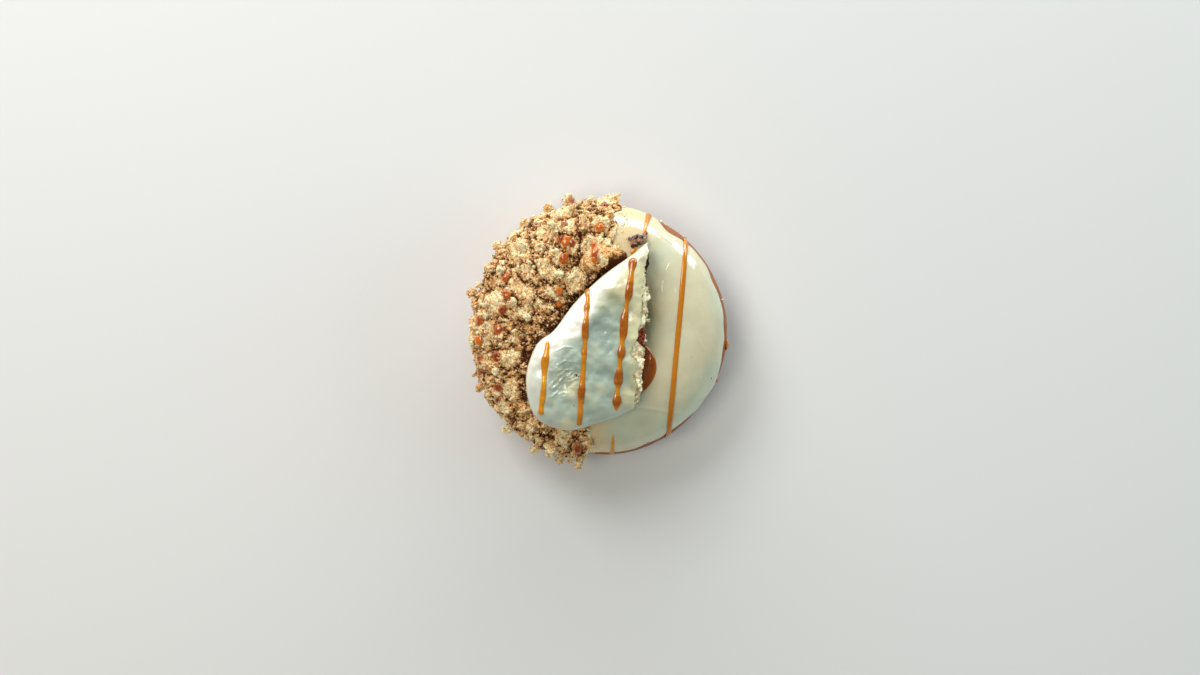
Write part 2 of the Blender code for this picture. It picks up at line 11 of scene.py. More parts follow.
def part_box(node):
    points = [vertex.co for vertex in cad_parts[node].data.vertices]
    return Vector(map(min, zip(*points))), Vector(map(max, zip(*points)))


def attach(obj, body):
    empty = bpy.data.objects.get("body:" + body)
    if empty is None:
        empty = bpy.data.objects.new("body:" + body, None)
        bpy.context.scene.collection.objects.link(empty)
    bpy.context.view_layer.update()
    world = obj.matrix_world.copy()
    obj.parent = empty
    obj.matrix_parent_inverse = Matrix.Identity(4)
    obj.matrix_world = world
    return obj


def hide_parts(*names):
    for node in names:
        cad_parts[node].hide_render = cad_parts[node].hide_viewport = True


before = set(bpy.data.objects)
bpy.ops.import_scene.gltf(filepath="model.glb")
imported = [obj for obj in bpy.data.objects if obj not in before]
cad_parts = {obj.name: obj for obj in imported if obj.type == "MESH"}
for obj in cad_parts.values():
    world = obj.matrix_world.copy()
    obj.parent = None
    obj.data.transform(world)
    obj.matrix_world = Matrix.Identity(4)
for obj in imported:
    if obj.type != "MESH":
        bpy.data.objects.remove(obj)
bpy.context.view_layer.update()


# The fried ring
# A ring of yeast dough, fried on one side and then the other, so that it is golden
# brown above and below and keeps a pale, slightly pinched belt where it floated.

MM = 0.001
CENTRE_RADIUS = 28.5 * MM
HALF_WIDTH = 19.0 * MM
EQUATOR_HEIGHT = 15.5 * MM
RISE = 18.5 * MM
DROP = 16.6 * MM
SHOULDER = 0.91
SOLID_SIDES = 48


def unevenness(bearing):
    """How much wider than a true circle the hand-made ring is at a bearing."""
    return 0.006 * np.sin(2 * bearing + 0.6) + 0.004 * np.sin(5 * bearing + 2.0)


def signed_power(value, power):
    return np.sign(value) * np.abs(value) ** power


def about_axis(bearing, turn, lift):
    """Points of the ring's surface about its own axis, grown by lift."""
    radius = CENTRE_RADIUS + signed_power(np.cos(turn), SHOULDER) * (HALF_WIDTH + lift)
    radius = radius * (1 + unevenness(bearing))
    tall = np.where(np.sin(turn) > 0, RISE, DROP) + lift
    height = EQUATOR_HEIGHT + signed_power(np.sin(turn), SHOULDER) * tall
    flat = radius * np.cos(bearing), radius * np.sin(bearing)
    return np.stack([*flat, np.maximum(height, 0)], axis=-1)


def middle(points):
    return (points.min(axis=0) + points.max(axis=0)) / 2


solid_bearings = np.arange(SOLID_SIDES) * math.tau / SOLID_SIDES
belt = about_axis(solid_bearings, 0 * solid_bearings, 0 * solid_bearings)
lowest, highest = (np.array(corner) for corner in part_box("dough"))
AXIS = (lowest + highest) / 2 - middle(belt)
AXIS[2] = 0.0


def ring_surface(bearing, turn, lift):
    """Points of the ring's surface where the doughnut stands in the frame."""
    bearing, turn, lift = np.broadcast_arrays(bearing, turn, lift)
    return about_axis(bearing, turn, lift) + AXIS


def noise_field(points, size, octaves=1, shift=0.0):
    """Smooth noise from about -1 to 1 at each point, with features of the given size."""
    flat = np.asarray(points).reshape(-1, 3)
    field = np.zeros(len(flat))
    for octave in range(octaves):
        scaled = flat * (2**octave / size) + shift + 17.3 * octave
        field += np.array([noise.noise(spot) for spot in scaled.tolist()]) / 2**octave
    return field.reshape(np.asarray(points).shape[:-1])


def skin(rows, wrapped):
    """Faces over a grid of points that closes across each row, and along them if wrapped."""
    count, around = rows.shape[:2]
    points = rows.reshape(-1, 3)
    index = np.arange(count * around).reshape(count, around)
    beside = np.roll(index, -1, axis=1)
    if wrapped:
        after, after_beside = np.roll(index, -1, axis=0), np.roll(beside, -1, axis=0)
        faces = np.stack([index, after, after_beside, beside], axis=-1)
        return points, faces.reshape(-1, 4).tolist()
    faces = np.stack([index[:-1], index[1:], beside[1:], beside[:-1]], axis=-1)
    faces = faces.reshape(-1, 4).tolist()
    ends = np.stack([rows[0].mean(axis=0), rows[-1].mean(axis=0)])
    first, last = len(points), len(points) + 1
    for here, following in zip(index[0], beside[0]):
        faces.append([int(first), int(here), int(following)])
    for here, following in zip(index[-1], beside[-1]):
        faces.append([int(last), int(following), int(here)])
    return np.concatenate([points, ends]), faces


def make_piece(name, points, faces, material, nodes, marks=(), smooth=True):
    """A mesh piece that stands for solids, with a number on each point for every mark."""
    mesh = bpy.data.meshes.new(name)
    mesh.from_pydata(np.asarray(points).tolist(), [], faces)
    for kind, values in dict(marks).items():
        numbers = mesh.attributes.new(kind, "FLOAT", "POINT")
        numbers.data.foreach_set("value", np.asarray(values, dtype=np.float32).ravel())
    mesh.materials.append(material)
    mesh.polygons.foreach_set("use_smooth", [smooth] * len(mesh.polygons))
    mesh.update()
    return settle(bpy.data.objects.new(name, mesh), nodes)


def settle(obj, nodes):
    """Puts a piece in the scene, riding on the doughnut, in place of its solids."""
    if not obj.users_collection:
        bpy.context.scene.collection.objects.link(obj)
    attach(obj, "root")
    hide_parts(*nodes)
    return obj


def colour(red, green, blue):
    """A colour as seen on a screen, from 0 to 255, as a shader wants it."""
    seen = np.array([red, green, blue]) / 255
    linear = np.where(seen <= 0.04045, seen / 12.92, ((seen + 0.055) / 1.055) ** 2.4)
    return (*linear.tolist(), 1.0)


def new_material(name, sockets):
    """A material with the given values set on its Principled shader."""
    material = bpy.data.materials.new(name)
    material.use_nodes = True
    principled = material.node_tree.nodes["Principled BSDF"]
    for socket, value in sockets.items():
        principled.inputs[socket].default_value = value
    return material


def add_node(material, kind, settings, inputs):
    """A shader node whose inputs are values or other nodes' outputs."""
    node = material.node_tree.nodes.new("ShaderNode" + kind)
    for setting, value in settings.items():
        setattr(node, setting, value)
    for socket, value in inputs.items():
        if isinstance(value, bpy.types.NodeSocket):
            material.node_tree.links.new(value, node.inputs[socket])
        else:
            node.inputs[socket].default_value = value
    return node


def grain(material, size, detail=3.0, roughness=0.55):
    """Noise with features of a size in metres, from 0 to 1."""
    place = add_node(material, "TexCoord", {}, {}).outputs["Object"]
    values = {"Vector": place, "Scale": 1 / size, "Detail": detail, "Roughness": roughness}
    return add_node(material, "TexNoise", {}, values).outputs["Fac"]


def mark(material, name):
    return add_node(material, "Attribute", {"attribute_name": name}, {}).outputs["Fac"]


def between(material, value, low, high, to_low=0.0, to_high=1.0):
    """Stretches the stretch from low to high of a value to a new range."""
    values = {"Value": value, 1: low, 2: high, 3: to_low, 4: to_high}
    settings = {"interpolation_type": "SMOOTHSTEP"}
    return add_node(material, "MapRange", settings, values).outputs["Result"]


def mixed(material, share, first, second, way="MIX"):
    """Two colours mixed by a share from 0 to 1."""
    settings = {"data_type": "RGBA", "blend_type": way}
    return add_node(material, "Mix", settings, {0: share, 6: first, 7: second}).outputs[2]


def sums(material, way, first, second):
    return add_node(material, "Math", {"operation": way}, {0: first, 1: second}).outputs[0]


def wear(material, socket, value):
    """Feeds a value into the material's Principled shader."""
    principled = material.node_tree.nodes["Principled BSDF"]
    material.node_tree.links.new(value, principled.inputs[socket])


def raise_relief(material, height, depth):
    """Bumps the surface by a height from 0 to 1 that stands for a depth in metres."""
    bump = add_node(material, "Bump", {}, {"Height": height, "Strength": 1.0, "Distance": depth})
    wear(material, "Normal", bump.outputs["Normal"])


def make_fried_dough():
    dough = new_material("fried_dough", {"Roughness": 0.55, "Specular IOR Level": 0.4})
    spot = add_node(dough, "TexCoord", {}, {}).outputs["Object"]
    height = add_node(dough, "SeparateXYZ", {}, {"Vector": spot}).outputs["Z"]
    wander = sums(dough, "MULTIPLY", sums(dough, "SUBTRACT", grain(dough, 9 * MM), 0.5), 6 * MM)
    height = sums(dough, "ADD", height, wander)
    above = between(dough, height, 16.5 * MM, 20 * MM)
    below = between(dough, height, 13.5 * MM, 8 * MM)
    browned = sums(dough, "MAXIMUM", above, below)
    crust = mixed(dough, grain(dough, 5 * MM), colour(136, 74, 30), colour(172, 106, 48))
    pale = mixed(dough, grain(dough, 3 * MM), colour(228, 196, 142), colour(240, 216, 170))
    toned = mixed(dough, browned, pale, crust)
    pores = between(dough, grain(dough, 0.7 * MM, 2.0), 0.36, 0.5, 0.55, 1.0)
    wear(dough, "Base Color", mixed(dough, 0.5, toned, pores, "MULTIPLY"))
    relief = sums(dough, "ADD", grain(dough, 0.5 * MM), grain(dough, 1.6 * MM))
    raise_relief(dough, relief, 0.25 * MM)
    return dough


RING_GRID = (240, 120)
bearing = np.arange(RING_GRID[0])[:, None] * math.tau / RING_GRID[0]
turn = np.arange(RING_GRID[1])[None, :] * math.tau / RING_GRID[1]
plain = ring_surface(bearing, turn, 0.0)
blisters = noise_field(plain, 7 * MM, 3) * 0.14 * MM + noise_field(plain, 18 * MM) * 0.12 * MM
pinch = -0.25 * MM * np.exp(-(((plain[..., 2] - EQUATOR_HEIGHT) / (3 * MM)) ** 2))
points, faces = skin(ring_surface(bearing, turn, blisters + pinch - 0.1 * MM), wrapped=True)
make_piece("fried_ring", points, faces, make_fried_dough(), ["dough"])


# The icing
# Melted white icing that the upper half of the ring was dipped in. It set as a glossy
# skin about a millimetre thick, with a rounded, wavy edge and two spots left bare.

ICING_LIFT = 0.4 * MM
ICING_THICKNESS = 1.1 * MM
ICING_TOP = ICING_LIFT + ICING_THICKNESS
ICING_OUTER_EDGE = math.radians(27)
ICING_INNER_EDGE = math.radians(163)
ICING_DEEPER = math.radians(19)
# The bearings between which crumble covers the icing.
CRUMBLE_START = math.radians(82)
CRUMBLE_END = math.radians(263)
# Bearings where dust of the crumble lies, and how far it goes to each side, in degrees.
DUST = ((74, 17), (-96, 10))
DUSTIEST = 0.8
# Bearing, height and half-width, in degrees, of the spots that the icing left bare.
BARE_SPOTS = ((55.5, 13, 7), (21, 5, 9))
# Steps round the ring, and over the outer and the inner face of the icing.
ICING_GRID = (480, 110, 12)
# Ends and height of the fine ridges in the icing, about the ring's axis.
ICING_RIDGES = (
    ((10.4, -29.4), (32.4, -32.2), 0.22),
    ((34.6, -2.0), (37.6, -8.0), 0.10),
    ((37.6, -8.0), (38.0, -18.0), 0.10),
    ((19.6, 37.4), (26.0, 32.0), 0.14),
)
RIDGE_WIDTH = 0.5 * MM


def wrapped_angle(angle):
    return (angle + math.pi) % math.tau - math.pi


def icing_edge(bearing):
    """The turn of the icing's outer edge: high at a bare spot and low under the crumble."""
    edge = 4 * np.sin(3 * bearing + 0.7) + 3 * np.sin(7 * bearing + 2.1)
    edge = edge + 0.7 * np.sin(19 * bearing) + 0.5 * np.sin(31 * bearing + 1)
    for place, rise, spread in BARE_SPOTS:
        away = np.degrees(wrapped_angle(bearing - math.radians(place)))
        edge = edge + rise * np.exp(-((away / spread) ** 2))
    halfway = (CRUMBLE_START + CRUMBLE_END) / 2
    inside = (CRUMBLE_END - CRUMBLE_START) / 2 - np.abs(wrapped_angle(bearing - halfway))
    covered = 1 / (1 + np.exp(-inside / math.radians(4)))
    return ICING_OUTER_EDGE + np.radians(edge) - ICING_DEEPER * covered


def distance_to_line(x, y, start, end):
    """Plan distance from points to a straight line between two places."""
    along = np.array(end) - np.array(start)
    share = ((x - start[0]) * along[0] + (y - start[1]) * along[1]) / (along @ along)
    share = np.clip(share, 0, 1)
    return np.hypot(x - start[0] - share * along[0], y - start[1] - share * along[1])


def make_icing_finish():
    icing = new_material(
        "white_icing",
        {
            "Roughness": 0.2,
            "Specular IOR Level": 0.7,
            "Subsurface Weight": 0.25,
            "Subsurface Radius": (2.0, 1.6, 0.9),
            "Subsurface Scale": 0.8 * MM,
            "Coat Weight": 0.5,
            "Coat Roughness": 0.08,
        },
    )
    cool = between(icing, grain(icing, 26 * MM, 1.0), 0.35, 0.65)
    tone = mixed(icing, cool, colour(208, 200, 168), colour(196, 204, 180))
    cloudy = between(icing, grain(icing, 6 * MM, 3.0), 0.3, 0.75)
    tone = mixed(icing, sums(icing, "MULTIPLY", cloudy, 0.35), tone, colour(226, 219, 188))
    specks = between(icing, grain(icing, 0.45 * MM, 1.0), 0.74, 0.8)
    tone = mixed(icing, sums(icing, "MULTIPLY", specks, 0.25), tone, colour(150, 140, 108))
    sandy = between(icing, grain(icing, 0.6 * MM, 3.0), 0.3, 0.7, 0.45, 1.0)
    dust = sums(icing, "MULTIPLY", mark(icing, "dust"), sandy)
    tone = mixed(icing, dust, tone, colour(226, 190, 132))
    wear(icing, "Base Color", tone)
    dulled = between(icing, grain(icing, 9 * MM, 3.0), 0.3, 0.7, 0.1, 0.22)
    wear(icing, "Roughness", dulled)
    raise_relief(icing, grain(icing, 3.5 * MM, 2.0), 0.12 * MM)
    return icing


bearing = np.arange(ICING_GRID[0])[:, None] * math.tau / ICING_GRID[0]
way = np.linspace(0, 1, ICING_GRID[1])[None, :]
start = icing_edge(bearing)
end = ICING_INNER_EDGE + np.radians(5) * np.sin(4 * bearing)
turn = start + (end - start) * (way / 2 + 0.25 - 0.25 * np.cos(math.pi * way))
rounded = np.minimum(1, 3 * np.sin(math.pi * way)) ** 0.5
plain = ring_surface(bearing, turn, ICING_TOP)
flow = noise_field(plain, 14 * MM, 2) * 0.22 * MM
sag = 0.25 * MM * np.exp(-(((way - 0.05) / 0.05) ** 2)) * (1 + np.sin(11 * bearing)) / 2
for ridge_start, ridge_end, ridge_height in ICING_RIDGES:
    here = (np.array(ridge_start) * MM, np.array(ridge_end) * MM)
    away = distance_to_line(plain[..., 0] - AXIS[0], plain[..., 1] - AXIS[1], *here)
    flow = flow + ridge_height * MM * np.exp(-((away / RIDGE_WIDTH) ** 2))
outside = ring_surface(bearing, turn, ICING_LIFT + (ICING_THICKNESS + flow + sag) * rounded)
back = np.linspace(1, 0, ICING_GRID[2] + 2)[None, 1:-1]
inside = ring_surface(bearing, start + (end - start) * back, 0.15 * MM)
points, faces = skin(np.concatenate([outside, inside], axis=1), wrapped=True)
direction = np.degrees(np.arctan2(points[:, 1] - AXIS[1], points[:, 0] - AXIS[0]))
dust = sum(np.exp(-(((direction - most) / reach) ** 2)) for most, reach in DUST)
marks = {"dust": DUSTIEST * dust}
make_piece("white_icing", points, faces, make_icing_finish(), ["icing"], marks)


# The caramel lines on the icing
# Warm caramel drizzled off a spoon in straight passes. Each line lies on the icing as a
# low rounded bead, and where it reached the edge it ran down over the dough.

# Plan places about the axis along each line, and its half-width at each, in millimetres.
ICING_LINES = (
    (((31.5, 34.6), 1.0), ((29.4, 11.0), 1.05), ((27.0, -14.0), 1.0), ((24.6, -41.0), 1.1)),
    (((17.6, 43.8), 1.2), ((16.6, 40.0), 0.75), ((15.2, 34.6), 0.7)),
    (((4.0, -39.8), 0.3), ((3.8, -43.4), 0.6), ((3.5, -47.0), 0.95)),
    (((13.0, 31.4), 0.5), ((11.8, 29.4), 0.8), ((10.7, 27.5), 0.85)),
)
LINE_STEP = 0.35 * MM
LINE_SIDES = 16
# How far the underside of a line sinks into what it lies on.
SUNK = 0.15 * MM


def turn_over(x, y, lift):
    """The turn at which the grown ring's upper surface passes over a plan place.

    A place outside the ring is taken as that much further down its side.
    """
    radius = np.hypot(x, y) / (1 + unevenness(np.arctan2(y, x)))
    across = (radius - CENTRE_RADIUS) / (HALF_WIDTH + lift)
    down_side = 1.5 * np.maximum(across - 1, 0)
    return np.arccos(signed_power(np.clip(across, -1, 1), 1 / SHOULDER)) - down_side


def surface_over(x, y, lift):
    return ring_surface(np.arctan2(y, x), turn_over(x, y, lift), lift)


def icing_top(x, y):
    """Lift of the icing's top over plan places, down to the bare dough past its edge."""
    past_edge = turn_over(x, y, ICING_TOP) - icing_edge(np.arctan2(y, x))
    covered = np.clip(past_edge / math.radians(5) + 0.4, 0, 1)
    return 0.1 * MM + (ICING_TOP - 0.1 * MM) * covered**0.6


def along_line(places, step):
    """Plan places and half-widths every step along a smooth line through the given ones."""
    knots = np.array([place for place, _ in places]) * MM
    widths = np.array([width for _, width in places]) * MM
    gaps = np.hypot(*np.diff(knots, axis=0).T)
    reach = np.concatenate([[0], np.cumsum(gaps)])
    at = np.linspace(0, reach[-1], max(8, round(reach[-1] / step)))
    x, y = np.interp(at, reach, knots[:, 0]), np.interp(at, reach, knots[:, 1])
    eased = np.interp(at, reach, np.arange(len(widths)))
    whole = np.minimum(eased.astype(int), len(widths) - 2)
    share = eased - whole
    share = share * share * (3 - 2 * share)
    return x, y, widths[whole] * (1 - share) + widths[whole + 1] * share


def bead_rows(centres, ups, half_widths, height_share=0.62):
    """Sections of a low rounded bead along centres, with rounded ends."""
    along = np.gradient(centres, axis=0)
    along /= np.linalg.norm(along, axis=1, keepdims=True)
    beside = np.cross(along, ups)
    beside /= np.linalg.norm(beside, axis=1, keepdims=True)
    reach = np.concatenate([[0], np.cumsum(np.linalg.norm(np.diff(centres, axis=0), axis=1))])
    from_end = np.minimum(reach, reach[-1] - reach) + 0.04 * MM
    ending = np.sqrt(np.clip(1 - (1 - np.clip(from_end / half_widths, 0, 1)) ** 2, 0.002, 1))
    wide = (half_widths * ending)[:, None, None]
    round_angle = np.arange(LINE_SIDES) * math.tau / LINE_SIDES
    sideways = np.cos(round_angle)[None, :, None] * wide
    lifted = np.sin(round_angle)[None, :, None]
    upward = np.where(lifted > 0, lifted * wide * height_share, lifted * SUNK)
    return centres[:, None] + beside[:, None] * sideways + ups[:, None] * upward


def surface_normals(x, y, lift):
    """Outward directions of the grown ring's surface over plan places."""
    where = (np.arctan2(y, x), turn_over(x, y, lift))
    outward = ring_surface(*where, lift + MM) - ring_surface(*where, lift)
    return outward / np.linalg.norm(outward, axis=1, keepdims=True)


def make_caramel(name, thin, thick, dark):
    """Clear amber caramel, paler where it lies thin and browner where it is deep."""
    caramel = new_material(
        name,
        {
            "Roughness": 0.12,
            "IOR": 1.49,
            "Specular IOR Level": 0.6,
            "Subsurface Weight": 0.2,
            "Subsurface Radius": (1.0, 0.4, 0.1),
            "Subsurface Scale": 0.8 * MM,
            "Coat Weight": 0.5,
            "Coat Roughness": 0.04,
        },
    )
    depth = mark(caramel, "depth")
    tone = mixed(caramel, between(caramel, depth, 0.0, 0.6), thin, thick)
    tone = mixed(caramel, between(caramel, depth, 0.5, 1.0), tone, dark)
    streaks = between(caramel, grain(caramel, 1.4 * MM, 3.0), 0.3, 0.7)
    tone = mixed(caramel, sums(caramel, "MULTIPLY", streaks, 0.3), tone, thick)
    wear(caramel, "Base Color", tone)
    raise_relief(caramel, grain(caramel, 1.2 * MM, 2.0), 0.06 * MM)
    return caramel


# The half-width of line at which caramel is as dark as it gets.
DEEPEST = 1.5 * MM
amber = make_caramel("caramel", colour(246, 182, 36), colour(206, 130, 8), colour(150, 72, 2))
beads = []
for places in ICING_LINES:
    x, y, half = along_line(places, LINE_STEP)
    centres = surface_over(x, y, icing_top(x, y))
    ups = surface_normals(x, y, ICING_TOP)
    beads.append((bead_rows(centres, ups, half), half))


def join_skins(sheets):
    """One mesh from several skins of rows, with each row's depth mark."""
    points, faces, depths, count = [], [], [], 0
    for rows, half in sheets:
        here, sides = skin(rows, wrapped=False)
        points.append(here)
        faces += [[corner + count for corner in face] for face in sides]
        depth = np.repeat(half / DEEPEST, rows.shape[1])
        depths.append(np.concatenate([depth, [half[0] / DEEPEST, half[-1] / DEEPEST]]))
        count += len(here)
    return np.concatenate(points), faces, np.concatenate(depths)


points, faces, depths = join_skins(beads)
marks = {"depth": depths}
make_piece("icing_caramel_lines", points, faces, amber, ["icing"], marks)


# The painted highlight streaks
# Short, thin raised beads on the icing, painted a brighter white than the icing, that
# stand for small bright highlight streaks along its ridges.

# Plan places about the axis along each streak, and its half-width, in millimetres.
HIGHLIGHT_STREAKS = (
    (((25.0, 24.6), 0.12), ((24.4, 23.2), 0.24), ((23.4, 21.4), 0.14)),
    (((22.6, 17.6), 0.2), ((22.2, 16.0), 0.12), ((22.0, 14.6), 0.26), ((22.4, 12.6), 0.14)),
    (((27.2, 15.0), 0.08), ((27.1, 13.8), 0.12), ((27.2, 12.8), 0.08)),
)


def make_highlight_streak_finish():
    streak_finish = new_material("painted_highlight_streak", {"Roughness": 0.15, "Coat Weight": 0.5})
    # Painted highlight: the streaks are a brighter white than the icing's own colour.
    tone = mixed(streak_finish, grain(streak_finish, 0.8 * MM), colour(236, 236, 220), colour(255, 255, 246))
    wear(streak_finish, "Base Color", tone)
    raise_relief(streak_finish, grain(streak_finish, 0.5 * MM), 0.03 * MM)
    return streak_finish


highlight_streaks = []
for places in HIGHLIGHT_STREAKS:
    x, y, half = along_line(places, 0.2 * MM)
    centres = surface_over(x, y, ICING_TOP)
    highlight_streaks.append((bead_rows(centres, surface_normals(x, y, ICING_TOP), half, 0.9), half))
points, faces, _ = join_skins(highlight_streaks)
make_piece("painted_highlight_streaks", points, faces, make_highlight_streak_finish(), ["icing"])


# The crumble
# Baked biscuit rubbed to crumbs and pressed into the icing of one half while it was wet.
# It lies as a lumpy bed with lumps, crumbs and sand on it, flattened under the biscuit.

CRUMBLE_LIFT = ICING_TOP + 0.4 * MM
CRUMBLE_BED = 0.9 * MM
CRUMBLE_RELIEF = 1.5 * MM
CRUMBLE_OUTER_EDGE = math.radians(8)
CRUMBLE_INNER_EDGE = math.radians(138)
# Sizes of the bed's lumps, in metres.
COARSE_LUMPS = 1 / 260
FINE_LUMPS = 1 / 610
BED_GRID = (380, 112)
# The broken biscuit that the crumble has to clear: the gap below it, the ends of its
# tear, how deep its underside reaches, its lean, its height, its middle and its outline.
GAP = 0.3 * MM
TEAR_TOP = np.array([15.6, 35.0]) * MM
TEAR_BOTTOM = np.array([11.1, -28.0]) * MM
BISCUIT_DROP = 4.2 * MM
BISCUIT_LEAN = math.radians(4.2)
BISCUIT_HEIGHT = EQUATOR_HEIGHT + RISE + CRUMBLE_LIFT + CRUMBLE_BED + GAP + BISCUIT_DROP
BISCUIT_MIDDLE = np.array([-1.0, -7.0]) * MM
BISCUIT_OUTLINE = [
    (19.5, 32.4),
    (10.6, 26.4),
    (-0.6, 18.2),
    (-10.5, 8.5),
    (-18.0, -1.5),
    (-24.7, -7.3),
    (-28.4, -20.0),
    (-24.8, -33.6),
    (-13.4, -38.5),
    (-3.4, -36.3),
    (8.4, -32.0),
    (23.0, -22.0),
    (32.0, 4.0),
    (31.0, 27.0),
]


def smooth_outline(samples=12):
    """The biscuit's outline as a smooth closed curve through its points."""
    corners = np.array(BISCUIT_OUTLINE) * MM
    before, start = np.roll(corners, 1, axis=0), corners
    end, after = np.roll(corners, -1, axis=0), np.roll(corners, -2, axis=0)
    curve = []
    for t in np.arange(samples) / samples:
        bend = 2 * before - 5 * start + 4 * end - after
        twist = 3 * start - before - 3 * end + after
        curve.append(0.5 * (2 * start + (end - before) * t + bend * t**2 + twist * t**3))
    return np.concatenate(curve)


outline = smooth_outline() - BISCUIT_MIDDLE
outline_directions = np.arctan2(outline[:, 1], outline[:, 0])
order = np.argsort(outline_directions)
outline_directions = outline_directions[order]
outline_reaches = np.hypot(*outline.T)[order]


def outline_reach(direction):
    """Distance from the biscuit's middle to its outline in a direction."""
    return np.interp(direction, outline_directions, outline_reaches, period=math.tau)


def tear_line(y):
    """Where the tear crosses the biscuit at a plan place y."""
    share = (y - TEAR_BOTTOM[1]) / (TEAR_TOP[1] - TEAR_BOTTOM[1])
    return TEAR_BOTTOM[0] + (TEAR_TOP[0] - TEAR_BOTTOM[0]) * share


def in_biscuit_plan(x, y, margin):
    """Whether plan places lie within margin of the biscuit's outline or inside it."""
    away_x, away_y = x - BISCUIT_MIDDLE[0], y - BISCUIT_MIDDLE[1]
    near = np.hypot(away_x, away_y) < outline_reach(np.arctan2(away_y, away_x)) + margin
    return near & (x < tear_line(y) + 4 * MM + margin)


def biscuit_underside(x):
    """A height that the biscuit's underside doesn't reach below."""
    return BISCUIT_HEIGHT - BISCUIT_DROP - math.tan(BISCUIT_LEAN) * x


def bed_lift(bearing, turn):
    """Lift of the bed's lumpy outer face, pressed flat where the biscuit lies on it."""
    spot = about_axis(bearing, turn, 0.0)
    lumps = noise_field(spot, COARSE_LUMPS) + 0.5 * noise_field(spot, FINE_LUMPS)
    lift = CRUMBLE_LIFT + CRUMBLE_BED + CRUMBLE_RELIEF * np.maximum(0, 0.35 + lumps)
    place = about_axis(bearing, turn, lift)
    room = biscuit_underside(place[..., 0]) - GAP - EQUATOR_HEIGHT
    room = room / np.maximum(np.sin(turn), 0.05) ** SHOULDER - RISE
    pressed = in_biscuit_plan(place[..., 0], place[..., 1], 1 * MM)
    return np.where(pressed, np.minimum(lift, room), lift)


def make_crumb_finish():
    crumbly = new_material("biscuit_crumble", {"Roughness": 0.85, "Specular IOR Level": 0.25})
    # Painted shade: the tone mark is lowered in the bed's cracks, in each crumb's dents, for
    # crumbs lying low and beside the biscuit's shaded side, so its dark brown end stands partly
    # for shade.
    tone = mark(crumbly, "tone")
    wander = sums(crumbly, "SUBTRACT", grain(crumbly, 0.9 * MM, 4.0, 0.7), 0.48)
    tone = sums(crumbly, "ADD", tone, sums(crumbly, "MULTIPLY", wander, 1.3))
    dark_to_tan = between(crumbly, tone, 0.08, 0.52)
    tan_to_cream = between(crumbly, tone, 0.42, 0.84)
    look = mixed(crumbly, dark_to_tan, colour(70, 34, 12), colour(240, 182, 116))
    look = mixed(crumbly, tan_to_cream, look, colour(255, 242, 196))
    toasted = between(crumbly, grain(crumbly, 0.75 * MM, 2.0), 0.58, 0.66)
    look = mixed(crumbly, sums(crumbly, "MULTIPLY", toasted, 0.75), look, colour(118, 62, 26))
    wet = between(crumbly, mark(crumbly, "wet"), 0.25, 0.9)
    look = mixed(crumbly, sums(crumbly, "MULTIPLY", wet, 0.7), look, colour(176, 88, 30))
    wear(crumbly, "Base Color", look)
    wear(crumbly, "Roughness", between(crumbly, wet, 0.2, 1.0, 0.85, 0.3))
    relief = sums(crumbly, "ADD", grain(crumbly, 0.25 * MM), grain(crumbly, 0.9 * MM))
    raise_relief(crumbly, relief, 0.3 * MM)
    return crumbly


def sheet_between(outer, inner):
    """A closed sheet between two grids of points, with walls round its border."""
    rows, columns = outer.shape[:2]
    index = np.arange(rows * columns).reshape(rows, columns)
    quads = np.stack([index[:-1, :-1], index[1:, :-1], index[1:, 1:], index[:-1, 1:]], axis=-1)
    quads = quads.reshape(-1, 4)
    border = np.concatenate([index[:-1, 0], index[-1, :-1], index[:0:-1, -1], index[0, :0:-1]])
    after = np.roll(border, -1)
    under = rows * columns
    walls = np.stack([after, border, border + under, after + under], axis=-1)
    faces = np.concatenate([quads, quads[:, ::-1] + under, walls])
    points = np.concatenate([outer.reshape(-1, 3), inner.reshape(-1, 3)])
    return points, faces.tolist()


def inside_cells(points, size, shift):
    """How far inside lumpy cells points lie: 0 on the cracks between cells, then up to 1."""
    cells = np.asarray(points).reshape(-1, 3) / size + shift
    near = np.array([noise.voronoi(spot)[0][:2] for spot in cells.tolist()])
    inside = np.sqrt(np.clip((near[:, 1] - near[:, 0]) / 0.45, 0, 1))
    return inside.reshape(np.asarray(points).shape[:-1])


def crumble_surface(bearing, turn):
    """Lift of the crumble's clustered surface, and how far out of the cracks it is."""
    spot = about_axis(bearing, turn, 0.0)
    shifts = (3.1, 47.9, 91.7)
    shaken = [noise_field(spot, 2.5 * MM, 2, shift) for shift in shifts]
    shaken = spot + 1.1 * MM * np.stack(shaken, axis=-1)
    clusters = inside_cells(shaken, 8.0 * MM, 0.0)
    clumps = inside_cells(shaken, 2.2 * MM, 5.0)
    relief = 1.6 * (clusters - 0.8) + 0.45 * (clumps - 0.8)
    relief = (relief + 0.5 * noise_field(spot, 1.3 * MM, 3)) * MM
    pressed = in_biscuit_plan(spot[..., 0], spot[..., 1], 1 * MM)
    relief = np.where(pressed, np.minimum(relief, 0), relief)
    return bed_lift(bearing, turn) + relief, 0.55 * clusters + 0.45 * clumps


